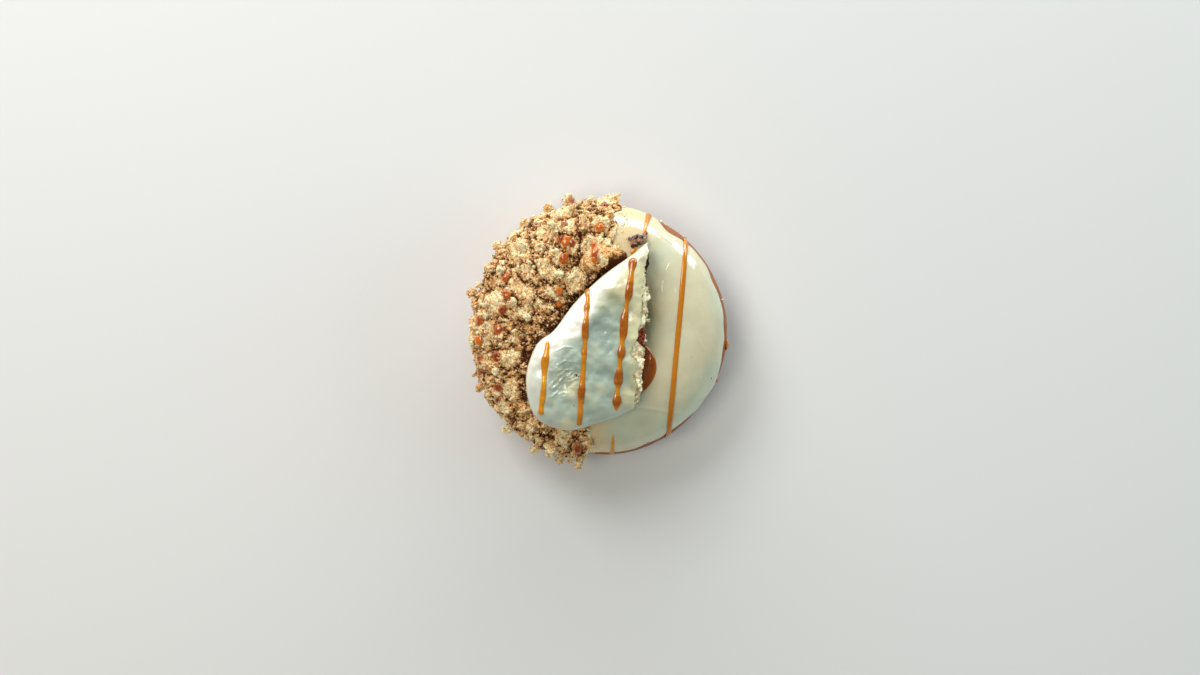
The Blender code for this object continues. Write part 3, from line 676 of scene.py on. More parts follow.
# Plan places about the axis and radius of each drop of caramel that sank into the
# crumble, in millimetres.
CRUMBLE_DROPS = (
    (-11.3, 50.0, 1.5),
    (0.7, 47.3, 1.1),
    (-1.0, 37.6, 1.3),
    (-14.4, 39.4, 1.0),
    (-13.6, 32.4, 1.6),
    (-15.6, 33.2, 1.3),
    (-11.6, 31.4, 1.3),
    (-14.5, 25.8, 1.4),
    (-2.7, 26.8, 1.5),
    (-2.6, 25.0, 1.4),
    (-3.2, 30.2, 0.9),
    (-36.2, 18.9, 1.4),
    (-35.7, 12.3, 1.5),
    (-37.2, 6.7, 1.4),
    (-39.1, -0.8, 1.5),
    (-46.2, 3.0, 1.5),
    (-46.5, -4.5, 1.5),
    (-46.2, -10.9, 1.1),
    (-45.9, -16.1, 1.1),
    (-39.5, -10.9, 1.5),
    (-39.2, -22.0, 1.3),
    (-39.3, -26.4, 1.1),
    (-16.2, 13.4, 1.3),
    (-16.4, 8.6, 1.1),
    (-9.5, -45.2, 1.4),
)
drop_plan = np.array(CRUMBLE_DROPS) * MM


def wetness(points):
    """1 at the caramel drops, falling to 0 about a drop's width away from them."""
    flat = points.reshape(-1, 3) - AXIS
    wet = np.zeros(len(flat))
    for x, y, radius in drop_plan:
        away = np.hypot(flat[:, 0] - x, flat[:, 1] - y) / radius
        wet = np.maximum(wet, np.clip(1.6 - 0.8 * away, 0, 1))
    return wet


# The bearing of the biscuit's side along which shade is painted onto the crumble.
SHADED_SIDE = math.radians(115)


def painted_biscuit_shade(points):
    """How much painted shade darkens the crumble close to the biscuit's shaded side."""
    flat = points.reshape(-1, 3) - AXIS
    away_x, away_y = flat[:, 0] - BISCUIT_MIDDLE[0], flat[:, 1] - BISCUIT_MIDDLE[1]
    direction = np.arctan2(away_y, away_x)
    gap = np.hypot(away_x, away_y) - outline_reach(direction)
    shaded_share = np.clip(np.cos(direction - SHADED_SIDE) + 0.3, 0, 1)
    return 0.6 * shaded_share * np.exp(-((np.maximum(gap, 0) / (3.6 * MM)) ** 2))


crumbly = make_crumb_finish()
crumble_skins = []


def strewn_piece(name, points, faces, tone, smooth=True):
    """A crumb piece that stands for the crumble's solid, with its tones, less the painted shade
    beside the biscuit, and its wet places.
    """
    marks = {"tone": tone - painted_biscuit_shade(points), "wet": wetness(points)}
    make_piece(name, points, faces, crumbly, ["crumble"], marks, smooth)
    crumble_skins.append((points, faces))


along = np.linspace(0, 1, BED_GRID[0])[:, None]
over = np.linspace(0, 1, BED_GRID[1])[None, :]
along, over = np.broadcast_arrays(along, over)
ragged = np.radians(5) * noise_field(np.stack([9 * along, 5 * over, 0 * over], axis=-1), 1.0)
frayed = np.radians(2.2) * noise_field(np.stack([60 * along, 22 * over, 0 * over], axis=-1), 1.0)
bearing = CRUMBLE_START + (CRUMBLE_END - CRUMBLE_START) * along + ragged + frayed
turn = CRUMBLE_OUTER_EDGE + (CRUMBLE_INNER_EDGE - CRUMBLE_OUTER_EDGE) * over + ragged + frayed
lift, outness = crumble_surface(bearing, turn)
border = np.minimum(np.minimum(along, 1 - along) * 90, np.minimum(over, 1 - over) * 30)
tapered = np.clip(border, 0, 1) ** 0.5
lift = CRUMBLE_LIFT - 0.3 * MM + (lift - CRUMBLE_LIFT + 0.3 * MM) * tapered
outer = ring_surface(bearing, turn, np.maximum(lift, CRUMBLE_LIFT - 0.25 * MM))
inner = ring_surface(bearing, turn, CRUMBLE_LIFT - 0.35 * MM)
points, faces = sheet_between(outer, inner)
# Painted shade: the bed's tone is lower in the cracks between its clusters and clumps, and higher
# on their tops.
crack_shaded_bed_tone = (1.4 * outness - 0.42).ravel()
strewn_piece("crumble_bed", points, faces, np.concatenate([crack_shaded_bed_tone, crack_shaded_bed_tone]))


def icosphere(subdivisions):
    ball = bmesh.new()
    bmesh.ops.create_icosphere(ball, subdivisions=subdivisions, radius=1)
    ball.verts.ensure_lookup_table()
    points = np.array([vertex.co[:] for vertex in ball.verts])
    faces = np.array([[vertex.index for vertex in face.verts] for face in ball.faces])
    ball.free()
    return points, faces


def broken_crumbs(places, radii, tones, subdivisions, seed, grainy=0.2):
    """Many crumbs in one mesh: balls with random flat breaks and a grainy surface."""
    draw = np.random.default_rng(seed)
    ball, sides = icosphere(subdivisions)
    count = len(places)
    stretch = draw.uniform(0.72, 1.0, (count, 1, 3))
    shapes = ball[None] * np.ones((count, 1, 1))
    for _ in range(12):
        facing = draw.normal(size=(count, 1, 3))
        facing /= np.linalg.norm(facing, axis=2, keepdims=True)
        depth = draw.uniform(0.5, 0.9, (count, 1, 1))
        beyond = np.maximum(0, (shapes * facing).sum(axis=2, keepdims=True) - depth)
        shapes = shapes - beyond * facing
    own_noise = shapes + np.arange(count)[:, None, None] * 7.31
    lumpy = noise_field(own_noise, 0.6, 3)[..., None]
    shapes = shapes * (1 + grainy * lumpy) * stretch
    spin = draw.normal(size=(count, 4))
    spin /= np.linalg.norm(spin, axis=1, keepdims=True)
    w, x, y, z = spin.T
    turned = np.stack(
        [
            np.stack([1 - 2 * (y * y + z * z), 2 * (x * y - w * z), 2 * (x * z + w * y)], -1),
            np.stack([2 * (x * y + w * z), 1 - 2 * (x * x + z * z), 2 * (y * z - w * x)], -1),
            np.stack([2 * (x * z - w * y), 2 * (y * z + w * x), 1 - 2 * (x * x + y * y)], -1),
        ],
        axis=-2,
    )
    shapes = np.einsum("nij,nvj->nvi", turned, shapes) * np.asarray(radii)[:, None, None]
    points = (shapes + np.asarray(places)[:, None]).reshape(-1, 3)
    faces = (sides[None] + np.arange(count)[:, None, None] * len(ball)).reshape(-1, 3)
    # Painted shade: each crumb's tone is lower in the dents of its grainy surface and higher on
    # its bumps.
    tone = np.repeat(tones, len(ball)) + 0.35 * lumpy.reshape(-1)
    return points, faces.tolist(), tone


# The big lumps: bearing and turn in degrees, and radius, as they stick in the bed.
LUMPS = (
    (92, 96, 3.6 * MM),
    (120, 118, 2.2 * MM),
    (84, 18, 1.8 * MM),
    (105, 14, 2.8 * MM),
    (114, 16, 2.3 * MM),
    (126, 14, 2.0 * MM),
    (141, 13, 2.3 * MM),
    (164, 12, 2.4 * MM),
    (205, 14, 1.9 * MM),
    (226, 12, 2.3 * MM),
    (240, 12, 2.2 * MM),
    (260, 14, 2.0 * MM),
)
# The larger crumbs: smallest and largest radius, and number.
CRUMB_KINDS = ((1.7 * MM, 2.3 * MM, 32), (1.1 * MM, 1.5 * MM, 28))
# How many random numbers the shape of a lump and of a crumb used up in the solids.
LUMP_DRAWS = 42
CRUMB_DRAWS = 12


def crumb_place(bearing, turn, radius):
    """The middle of a crumb that stands in the bed and clear of the icing."""
    lift = max(CRUMBLE_LIFT + radius + 0.1 * MM, bed_lift(bearing, turn) + 0.4 * radius)
    return about_axis(bearing, turn, lift)


def crumb_fits(place, radius, placed, spacing=0.8):
    """Whether a crumb stays clear of the biscuit and isn't crowded by the others."""
    if in_biscuit_plan(place[0], place[1], radius + GAP):
        if place[2] + radius > biscuit_underside(place[0]) - GAP:
            return False
    return all(math.dist(place, other) > spacing * (radius + size) for other, size in placed)


draw = random.Random(7)
placed = []


def shape_draws(count):
    for _ in range(count):
        draw.uniform(0.76, 1.0)
    draw.uniform(0, math.tau)


for lump_bearing, lump_turn, radius in LUMPS:
    where = (math.radians(lump_bearing), math.radians(lump_turn), radius)
    placed.append((crumb_place(*where), radius))
    shape_draws(LUMP_DRAWS)
for smallest, largest, wanted in CRUMB_KINDS:
    made = 0
    for _ in range(60 * wanted):
        radius = draw.uniform(smallest, largest)
        where = draw.uniform(CRUMBLE_START, CRUMBLE_END)
        over_ring = draw.uniform(CRUMBLE_OUTER_EDGE, CRUMBLE_INNER_EDGE - math.radians(8))
        place = crumb_place(where, over_ring, radius)
        if made < wanted and crumb_fits(place, radius, placed):
            placed.append((place, radius))
            shape_draws(CRUMB_DRAWS)
            made += 1

# The lumps heaped round the big chunk beside the biscuit's tip: plan places and radii.
HEAP = (
    (-1.8, 31.4, 2.3),
    (0.8, 23.6, 1.9),
    (4.7, 29.2, 1.8),
    (-5.6, 24.2, 1.9),
    (1.6, 31.6, 1.9),
    (-4.6, 33.0, 1.6),
)
for x, y, radius in np.array(HEAP) * MM:
    where = (math.atan2(y, x), float(turn_over(x, y, 3 * MM)))
    placed.append((crumb_place(*where, radius), radius))

# Grains on a lump of one millimetre's radius, and more on larger ones by their surface.
GRAINS_ON_LUMP = 7

tone_draw = np.random.default_rng(5)
places = np.array([place for place, _ in placed]) + AXIS
radii = np.array([radius for _, radius in placed])
tones = tone_draw.uniform(0.45, 0.85, len(placed))
points, faces, tone = broken_crumbs(places, radii, tones, 3, 21, grainy=0.42)
strewn_piece("crumble_lumps", points, faces, tone)

counts = np.maximum(6, (GRAINS_ON_LUMP * (radii / MM) ** 2).astype(int))
owner = np.repeat(np.arange(len(radii)), counts)
facing = tone_draw.normal(size=(len(owner), 3))
facing[:, 2] = np.abs(facing[:, 2]) - 0.35
facing /= np.linalg.norm(facing, axis=1, keepdims=True)
crust_radii = tone_draw.uniform(0.28, 0.6, len(owner)) * MM
crust_places = places[owner] + facing * (radii[owner] * 0.82)[:, None]
crust_tones = tones[owner] + tone_draw.uniform(-0.18, 0.3, len(owner))
points, faces, tone = broken_crumbs(crust_places, crust_radii, crust_tones, 1, 22)
strewn_piece("crumble_lump_grains", points, faces, tone, smooth=False)


# The big chunk of broken biscuit: its middle, and the outward direction and distance in
# millimetres of each of its flat breaks, before they are rounded by EDGE_ROUNDING. Its
# tone has painted light and shade: paler on the faces turned up and to the north-west,
# towards the light, and darker on the others.
CHUNK_MIDDLE = (0.0, 26.2)
CHUNK_BREAKS = (
    (0.42, 0.78, 0.46, 4.2),
    (-0.70, 0.45, 0.55, 4.6),
    (0.35, -0.60, 0.72, 3.1),
    (-0.15, 0.20, 0.97, 3.0),
    (0.97, -0.05, 0.24, 8.2),
    (-0.75, -0.60, 0.30, 7.0),
    (0.00, -0.95, 0.30, 5.0),
    (0.00, 0.00, -1.00, 3.5),
)
EDGE_ROUNDING = 16

ball, sides = icosphere(6)
facing = np.array(CHUNK_BREAKS)[:, :3]
facing = facing / np.linalg.norm(facing, axis=1, keepdims=True)
reached = np.clip(ball @ facing.T, 0, 1) / (np.array(CHUNK_BREAKS)[:, 3] * MM)
reach = (reached**EDGE_ROUNDING).sum(axis=1) ** (-1 / EDGE_ROUNDING)
relief = 0.3 * noise_field(ball * reach[:, None], 2.6 * MM, 3)
relief = relief + 0.15 * noise_field(ball * 9, 1.0, 2)
chunk_points = ball * (reach + relief * MM)[:, None]
x, y = np.array(CHUNK_MIDDLE) * MM
where = (math.atan2(y, x), float(turn_over(x, y, 3 * MM)))
chunk_points = chunk_points + about_axis(*where, CRUMBLE_LIFT + 2.3 * MM) + AXIS
# Painted light and shade: faces turned towards the light are painted paler, and the other faces
# and the dents of the surface darker.
painted_lit_faces = -0.7 * ball[:, 0] + 0.5 * ball[:, 1] + 0.35 * ball[:, 2]
strewn_piece("crumble_chunk", chunk_points, sides.tolist(), 0.4 + 0.12 * painted_lit_faces + 0.7 * relief)


def touching(places, radii, names):
    """Which crumbs touch one of the named pieces, so that none hangs in the air."""
    graph = bpy.context.evaluated_depsgraph_get()
    away = np.full(len(places), 1.0)
    for name in names:
        tree = BVHTree.FromObject(bpy.data.objects[name], graph)
        near = [tree.find_nearest(place)[3] for place in places.tolist()]
        away = np.minimum(away, near)
    return away < 0.85 * radii


def scatter(count, smallest, largest, sink, seed, edge_degrees=4.0):
    """Places, sizes and tones of crumbs strewn over the bed, none of them in the biscuit."""
    draw = np.random.default_rng(seed)
    tries = count * 2
    bearing = draw.uniform(CRUMBLE_START, CRUMBLE_END, tries)
    bearing = bearing + np.radians(edge_degrees) * draw.normal(size=tries) * 0.5
    turn = draw.uniform(CRUMBLE_OUTER_EDGE - 0.04, CRUMBLE_INNER_EDGE, tries)
    radius = smallest + (largest - smallest) * draw.uniform(0, 1, tries) ** 2
    on_bed = (bearing > CRUMBLE_START) & (bearing < CRUMBLE_END)
    lift, outness = crumble_surface(bearing, turn)
    lift = np.where(on_bed, np.maximum(lift, CRUMBLE_LIFT), ICING_TOP) + radius * sink
    place = about_axis(bearing, turn, lift)
    under = in_biscuit_plan(place[:, 0], place[:, 1], radius)
    blocked = under & (place[:, 2] + radius > biscuit_underside(place[:, 0]))
    held = touching(place + AXIS, radius, ("fried_ring", "white_icing", "crumble_bed"))
    keep = np.flatnonzero(held & ~blocked)[:count]
    # Painted shade: crumbs on the bed get a lower tone where they lie low in its cracks.
    tones = np.where(on_bed, 1.05 * outness - 0.12, 0.8)[keep]
    tones = tones + draw.uniform(-0.35, 0.5, len(keep))
    return place[keep] + AXIS, radius[keep], tones


places, radii, tones = scatter(620, 0.55 * MM, 1.1 * MM, 0.25, 31)
strewn_piece("crumble_crumbs", *broken_crumbs(places, radii, tones, 2, 32, grainy=0.3))

places, radii, tones = scatter(4200, 0.32 * MM, 0.58 * MM, 0.35, 41, edge_degrees=6.0)
strewn_piece("crumble_grains", *broken_crumbs(places, radii, tones, 1, 42), smooth=False)

places, radii, tones = scatter(8500, 0.14 * MM, 0.32 * MM, 0.5, 51, edge_degrees=9.0)
strewn_piece("crumble_sand", *broken_crumbs(places, radii, tones, 1, 52), smooth=False)

# Flat flakes: plan place, length, width and thickness, and bearing of the length.
FLAKES = (
    (-11.2, 19.6, 2.8, 1.1, 0.5, 32),
    (-27.0, 24.0, 1.7, 0.8, 0.4, -20),
    (-33.0, -4.0, 1.8, 0.8, 0.4, 70),
    (-20.0, 12.6, 1.6, 0.7, 0.4, 15),
    (-37.0, 24.5, 1.7, 0.8, 0.4, 100),
    (-33.5, -26.0, 1.5, 0.7, 0.4, 40),
)


def lie_flakes(rows, seed):
    """Points, faces and tones of thin broken flakes that lie on the bed."""
    rows = np.array(rows)
    shapes, faces, tone = broken_crumbs(
        np.zeros((len(rows), 3)), np.ones(len(rows)), np.full(len(rows), 0.9), 3, seed, 0.12
    )
    shapes = shapes.reshape(len(rows), -1, 3) * rows[:, None, 2:5] * MM
    for shape, (x, y, _, _, thick, bearing) in zip(shapes, rows):
        lean = Matrix.Rotation(math.radians(bearing), 3, "Z") @ Matrix.Rotation(0.35, 3, "Y")
        where = (math.atan2(y, x), float(turn_over(x * MM, y * MM, 3 * MM)))
        place = about_axis(*where, float(bed_lift(*where)) + 0.7 * thick * MM)
        shape[:] = shape @ np.array(lean).T + place + AXIS
    return shapes.reshape(-1, 3), faces, tone


strewn_piece("crumble_flakes", *lie_flakes(FLAKES, 61))


# The caramel drops on the crumble
# Where the drizzle crossed the crumble it broke into drops that sank between the crumbs
# and set there, darker than the lines because they are deep.


def drops(places, seed):
    """Rounded caramel drops, a little flattened and uneven, in one mesh."""
    draw = np.random.default_rng(seed)
    ball, sides = icosphere(3)
    points, faces, depths, count = [], [], [], 0
    for place, up, radius in places:
        upward = Vector(up).normalized()
        sideways = Vector((0, 1, 0)).cross(upward).normalized()
        frame_up = Matrix((sideways, upward.cross(sideways), upward)).transposed()
        stretch = np.array([draw.uniform(0.9, 1.15), draw.uniform(1.1, 1.6), 0.6]) * radius
        uneven = 1 + 0.42 * noise_field(ball + 0.013 * count, 0.8, 2)[:, None]
        shape = (ball * uneven * stretch) @ np.array(frame_up).T + place
        points.append(shape)
        faces.append(sides + count)
        depths.append(0.2 + 0.5 * draw.uniform() + 0.3 * ball[:, 2])
        count += len(ball)
    return np.concatenate(points), np.concatenate(faces).tolist(), np.concatenate(depths)


crumble_points = np.concatenate([points for points, _ in crumble_skins])
starts = np.cumsum([0] + [len(points) for points, _ in crumble_skins[:-1]])
crumble_faces = [
    [corner + start for corner in face]
    for start, (_, faces) in zip(starts.tolist(), crumble_skins)
    for face in faces
]
crumble_top = BVHTree.FromPolygons(crumble_points.tolist(), crumble_faces)
spots = []
for x, y, radius in drop_plan:
    reach = min(1, (CENTRE_RADIUS + HALF_WIDTH + 1.5 * MM) / math.hypot(x, y))
    above = Vector((x * reach + AXIS[0], y * reach + AXIS[1], 80 * MM))
    place = crumble_top.ray_cast(above, Vector((0, 0, -1)))[0]
    where = (math.atan2(y, x), float(turn_over(x, y, 3 * MM)))
    up = about_axis(*where, 6 * MM) - about_axis(*where, 0.0)
    up = up / np.linalg.norm(up) + np.array([0, 0, 0.6])
    spots.append((np.array(place), up, radius))
points, faces, depths = drops(spots, 61)
deep = make_caramel("deep_caramel", colour(236, 152, 44), colour(200, 102, 18), colour(112, 32, 6))
marks = {"depth": depths}
make_piece("crumble_caramel_drops", points, faces, deep, ["crumble"], marks)


# Two drops ran over the edge of the icing and hang on the bare dough: bearing and turn
# in degrees, and radius.
RIM_DROPS = ((-7.0, 14, 1.1 * MM), (-23.4, 14, 1.0 * MM))

spots = []
for drop_bearing, drop_turn, radius in RIM_DROPS:
    where = (math.radians(drop_bearing), math.radians(drop_turn))
    place = about_axis(*where, 0.2 * MM) + AXIS
    spots.append((place, about_axis(*where, 6 * MM) - about_axis(*where, 0.0), radius))
points, faces, depths = drops(spots, 63)
make_piece("rim_caramel_drops", points, faces, deep, ["icing"], {"depth": depths})


# The stray crumbs
# A few crumbs of the crumble, and specks of dark toasted biscuit, that fell on the icing
# and stuck to it.

# Plan place about the axis and radius of each, in millimetres.
STRAY_CRUMBS = (
    (22.4, 41.0, 0.8),
    (23.8, 40.0, 0.5),
    (31.6, 35.6, 0.7),
    (32.4, 36.0, 0.4),
    (45.2, 11.4, 0.45),
    (8.6, 43.8, 0.4),
    (9.4, 39.4, 0.35),
    (7.6, 36.0, 0.4),
    (8.8, 33.6, 0.3),
    (-1.6, -40.6, 0.4),
    (-2.4, -44.8, 0.45),
)
DARK_SPECKS = ((40.9, -18.6, 0.3), (33.0, -11.0, 0.18), (19.8, 20.4, 0.18), (36.0, 5.6, 0.16))

spots = np.array(STRAY_CRUMBS) * MM
lift = icing_top(spots[:, 0], spots[:, 1]) + 0.5 * spots[:, 2]
places = surface_over(spots[:, 0], spots[:, 1], lift)
crumbs = broken_crumbs(places, spots[:, 2], np.full(len(spots), 0.85), 3, 66, grainy=0.3)
strewn_piece("stray_crumbs", *crumbs)
spots = np.array(DARK_SPECKS) * MM
lift = icing_top(spots[:, 0], spots[:, 1]) + 0.3 * spots[:, 2]
places = surface_over(spots[:, 0], spots[:, 1], lift)
crumbs = broken_crumbs(places, spots[:, 2], np.full(len(spots), -0.4), 2, 67)
strewn_piece("dark_specks", *crumbs)


# The coating of the broken biscuit
# A sandwich biscuit was dipped in white coating, which set wavy and wrinkled, and was
# then snapped. The coating is a shell about a millimetre thick, open along the break.

BISCUIT_RISE = 8.0 * MM
# How full the biscuit's edge is in section: 1 is an ellipse, and less is squarer.
RIM_POWER = 0.58
FACE_POWER = 0.58
COATING_THICKNESS = 1.2 * MM
# The gentle swells and hollows: plan place and height, in millimetres.
SWELL_WIDTH = 5.0 * MM
COATING_SWELLS = (
    (8.0, 15.0, 0.9),
    (2.4, 8.1, -0.8),
    (-13.0, 1.0, 0.6),
    (-0.9, -2.2, -0.9),
    (11.0, -3.0, 0.6),
    (7.0, -21.0, -0.6),
    (-15.0, -19.0, -0.7),
    (-16.5, -31.0, 0.5),
)
# Smaller dents and swells: plan place, height and half-width, in millimetres.
COATING_DENTS = (
    (3.0, -12.0, 0.35, 2.4),
    (8.6, 4.4, -0.3, 2.0),
    (11.5, 9.5, 0.3, 2.2),
    (-4.0, 4.5, 0.35, 2.4),
    (0.5, -18.0, -0.3, 2.2),
    (9.4, -14.0, 0.4, 2.2),
    (9.0, -26.0, 0.35, 2.0),
    (-1.6, -27.0, 0.4, 2.4),
    (-5.4, -33.0, -0.3, 2.0),
    (-13.0, -27.0, 0.3, 2.2),
    (-20.0, -30.0, -0.3, 2.0),
    (-24.5, -20.0, 0.3, 2.0),
    (-11.6, -9.0, 0.3, 2.6),
)
# Wrinkles in the coating, as plan places along each, in millimetres.
WRINKLES = (
    (
        (-20.0, -22.6),
        (-17.1, -19.2),
        (-14.0, -16.6),
        (-12.1, -16.1),
        (-11.7, -17.2),
        (-13.0, -18.6),
    ),
    ((-13.0, -18.6), (-15.2, -19.4), (-16.4, -20.9)),
    ((-19.0, -23.4), (-15.3, -21.0), (-12.2, -20.6), (-9.6, -19.4)),
    ((-20.8, -26.4), (-18.8, -26.2), (-16.8, -24.3)),
    ((-17.2, -9.4), (-14.6, -8.1), (-11.4, -8.4)),
    ((-17.0, -14.8), (-14.2, -13.2), (-12.2, -13.6)),
)
WRINKLE_WIDTH = 0.34 * MM
WRINKLE_HEIGHT = 0.22 * MM
# Where the coating crumpled most, and how far that reaches, in millimetres.
WRINKLED_PLACE = (-15.2, -20.0)
WRINKLED_SPREAD = (6.5, 8.0)
BODY_SIDES = 480
# The bearing of the light: the coating's rim is painted whitest on that side, as painted light.
LIT_SIDE = math.radians(145)
# Where the coating broke off shorter or longer: plan place y, half-width and depth, in
# millimetres.
COATING_NOTCHES = (
    (-9.6, 2.7, 3.1),
    (-18.4, 1.8, 1.2),
    (-23.0, 1.2, -0.7),
    (-3.6, 2.4, 0.8),
    (28.0, 8.0, -1.3),
)


def swell(x, y):
    """Height of the gentle swells and hollows in the coating over plan places."""
    total = 0.0 * x
    for place_x, place_y, height in COATING_SWELLS:
        away = (x - place_x * MM) ** 2 + (y - place_y * MM) ** 2
        total = total + height * MM * np.exp(-away / SWELL_WIDTH**2)
    return total


def fine_relief(x, y):
    """Height of the small dents, ripples and wrinkles in the coating over plan places."""
    total = 0.0 * x
    for place_x, place_y, height, width in COATING_DENTS:
        away = (x - place_x * MM) ** 2 + (y - place_y * MM) ** 2
        total = total + 1.35 * height * MM * np.exp(-away / (width * MM) ** 2)
    spots = np.stack([x, y, 0 * x], axis=-1)
    aside = (x / MM - WRINKLED_PLACE[0]) / WRINKLED_SPREAD[0]
    along_it = (y / MM - WRINKLED_PLACE[1]) / WRINKLED_SPREAD[1]
    folds = np.clip(1 - 3.0 * np.abs(noise_field(spots, 2.3 * MM, 2)), 0, 1)
    total = total + 0.3 * MM * folds * np.exp(-((aside**2 + along_it**2) ** 2))
    total = total + (0.56 * noise_field(spots, 5.0 * MM, 2) - 0.12) * MM
    total = total + 0.1 * MM * noise_field(spots, 2.2 * MM, 2, 9.1)
    for wrinkle in WRINKLES:
        away = np.full(x.shape, 1.0)
        for start, end in zip(wrinkle[:-1], wrinkle[1:]):
            here = (np.array(start) * MM, np.array(end) * MM)
            away = np.minimum(away, distance_to_line(x, y, *here))
        total = total + WRINKLE_HEIGHT * np.exp(-((away / WRINKLE_WIDTH) ** 2))
    return total


def biscuit_top(x, y):
    """Height of the coated biscuit's upper face over plan places, before it is leaned."""
    away_x, away_y = x - BISCUIT_MIDDLE[0], y - BISCUIT_MIDDLE[1]
    reach = outline_reach(np.arctan2(away_y, away_x))
    share = np.minimum(1, np.hypot(away_x, away_y) / reach)
    up = np.maximum(0, 1 - share ** (2 / RIM_POWER)) ** (FACE_POWER / 2)
    return (BISCUIT_RISE + swell(x, y)) * up


def biscuit_rows(inset, sides, polar, relief=False):
    """Sections of the rounded slab with the biscuit's outline, smaller all round by inset."""
    direction = np.arange(sides)[None, :] * math.tau / sides
    polar = polar[:, None]
    flat, up = np.sin(polar), np.cos(polar)
    reach = (outline_reach(direction) - inset) * flat**RIM_POWER
    x = BISCUIT_MIDDLE[0] + reach * np.cos(direction)
    y = BISCUIT_MIDDLE[1] + reach * np.sin(direction)
    tall = np.where(up > 0, BISCUIT_RISE + swell(x, y), BISCUIT_DROP) - inset
    z = np.sign(up) * np.abs(up) ** FACE_POWER * tall
    if relief:
        z = z + np.where(up > 0, fine_relief(x, y) * np.clip(up * 6, 0, 1), 0)
    return np.stack(np.broadcast_arrays(x, y, z), axis=-1)


seat = Matrix.Translation(Vector((AXIS[0], AXIS[1], BISCUIT_HEIGHT)))
seat = seat @ Matrix.Rotation(BISCUIT_LEAN, 4, "Y")
SEAT_TURN = np.array(seat.to_3x3())
SEAT_PLACE = np.array(seat.translation)


def seated(points):
    """Points of the level biscuit where it lies on the ring."""
    return np.asarray(points) @ SEAT_TURN.T + SEAT_PLACE


def raw_object(name, points, faces):
    mesh = bpy.data.meshes.new(name)
    mesh.from_pydata(np.asarray(points).tolist(), [], faces)
    return bpy.data.objects.new(name, mesh)


def ragged_cutter(name, beyond, roughness, notches, steps):
    """Everything past the break: a ragged sheet, beyond the tear line, drawn out sideways."""
    along = np.linspace(-1, 1, steps[0])[:, None]
    tall = np.linspace(-1, 1, steps[1])[None, :]
    y = (TEAR_TOP[1] + TEAR_BOTTOM[1]) / 2 + along * 45 * MM
    z = tall * 14 * MM
    y, z = np.broadcast_arrays(y, z)
    spots = np.stack([y, z, np.full(y.shape, beyond)], axis=-1)
    jag = noise_field(spots, 1 / 380) + 0.6 * noise_field(spots, 1 / 900)
    jag = jag + 0.45 * noise_field(spots, 1 / 2600, 2)
    notched = 0 * y
    for place, width, depth in np.array(notches).reshape(-1, 3) * MM:
        notched = notched + depth * np.exp(-(((y - place) / width) ** 2))
    x = tear_line(y) + beyond - notched + roughness * jag
    near = np.stack([x, y, z], axis=-1)
    far = near + np.array([60 * MM, 0, 0])
    points, faces = sheet_between(far, near)
    return raw_object(name, seated(points), faces)


def shaped(obj, steps):
    """Applies Booleans with the given objects to a piece, and removes those objects."""
    bpy.context.scene.collection.objects.link(obj)
    for operation, other in steps:
        bpy.context.scene.collection.objects.link(other)
        modifier = obj.modifiers.new(operation.lower(), "BOOLEAN")
        modifier.operation = operation
        modifier.solver = "MANIFOLD"
        modifier.object = other
    bpy.context.view_layer.update()
    evaluated = obj.evaluated_get(bpy.context.evaluated_depsgraph_get())
    mesh = bpy.data.meshes.new_from_object(evaluated)
    obj.modifiers.clear()
    obj.data = mesh
    for _, other in steps:
        bpy.data.objects.remove(other)
    mesh.materials.clear()
    mesh.shade_smooth()
    mesh.set_sharp_from_angle(angle=math.radians(50))
    return obj


def make_coating_finish():
    coat = new_material(
        "white_coating",
        {
            "Roughness": 0.22,
            "Subsurface Weight": 0.2,
            "Subsurface Radius": (1.8, 1.7, 1.3),
            "Subsurface Scale": 0.7 * MM,
            "Coat Weight": 0.35,
            "Coat Roughness": 0.1,
        },
    )
    cool = between(coat, grain(coat, 14 * MM, 2.0), 0.3, 0.55)
    cool = sums(coat, "MULTIPLY", mark(coat, "cool"), cool)
    tone = mixed(coat, cool, colour(216, 209, 166), colour(176, 190, 174))
    # Painted shade: where the height mark is low, in the coating's dents and hollows, the tone is
    # darkened to olive where warm and grey-green where cool.
    hollow = between(coat, mark(coat, "height"), 0.35, -0.75)
    painted_hollow_shade = mixed(coat, mark(coat, "cool"), colour(158, 160, 122), colour(140, 157, 146))
    tone = mixed(coat, sums(coat, "MULTIPLY", hollow, 0.7), tone, painted_hollow_shade)
    # Painted light: the mark called thick paints the coating's rim near white, most on the side
    # facing the light.
    thick = sums(coat, "MULTIPLY", mark(coat, "thick"), 0.95)
    tone = mixed(coat, thick, tone, colour(252, 250, 236))
    specks = between(coat, grain(coat, 0.4 * MM, 1.0), 0.76, 0.8)
    tone = mixed(coat, sums(coat, "MULTIPLY", specks, 0.25), tone, colour(128, 128, 110))
    wear(coat, "Base Color", tone)
    dulled = between(coat, grain(coat, 4 * MM, 3.0), 0.3, 0.7, 0.12, 0.25)
    wear(coat, "Roughness", dulled)
    relief = sums(coat, "ADD", grain(coat, 2.6 * MM, 3.0), grain(coat, 0.9 * MM))
    raise_relief(coat, relief, 0.07 * MM)
    return coat


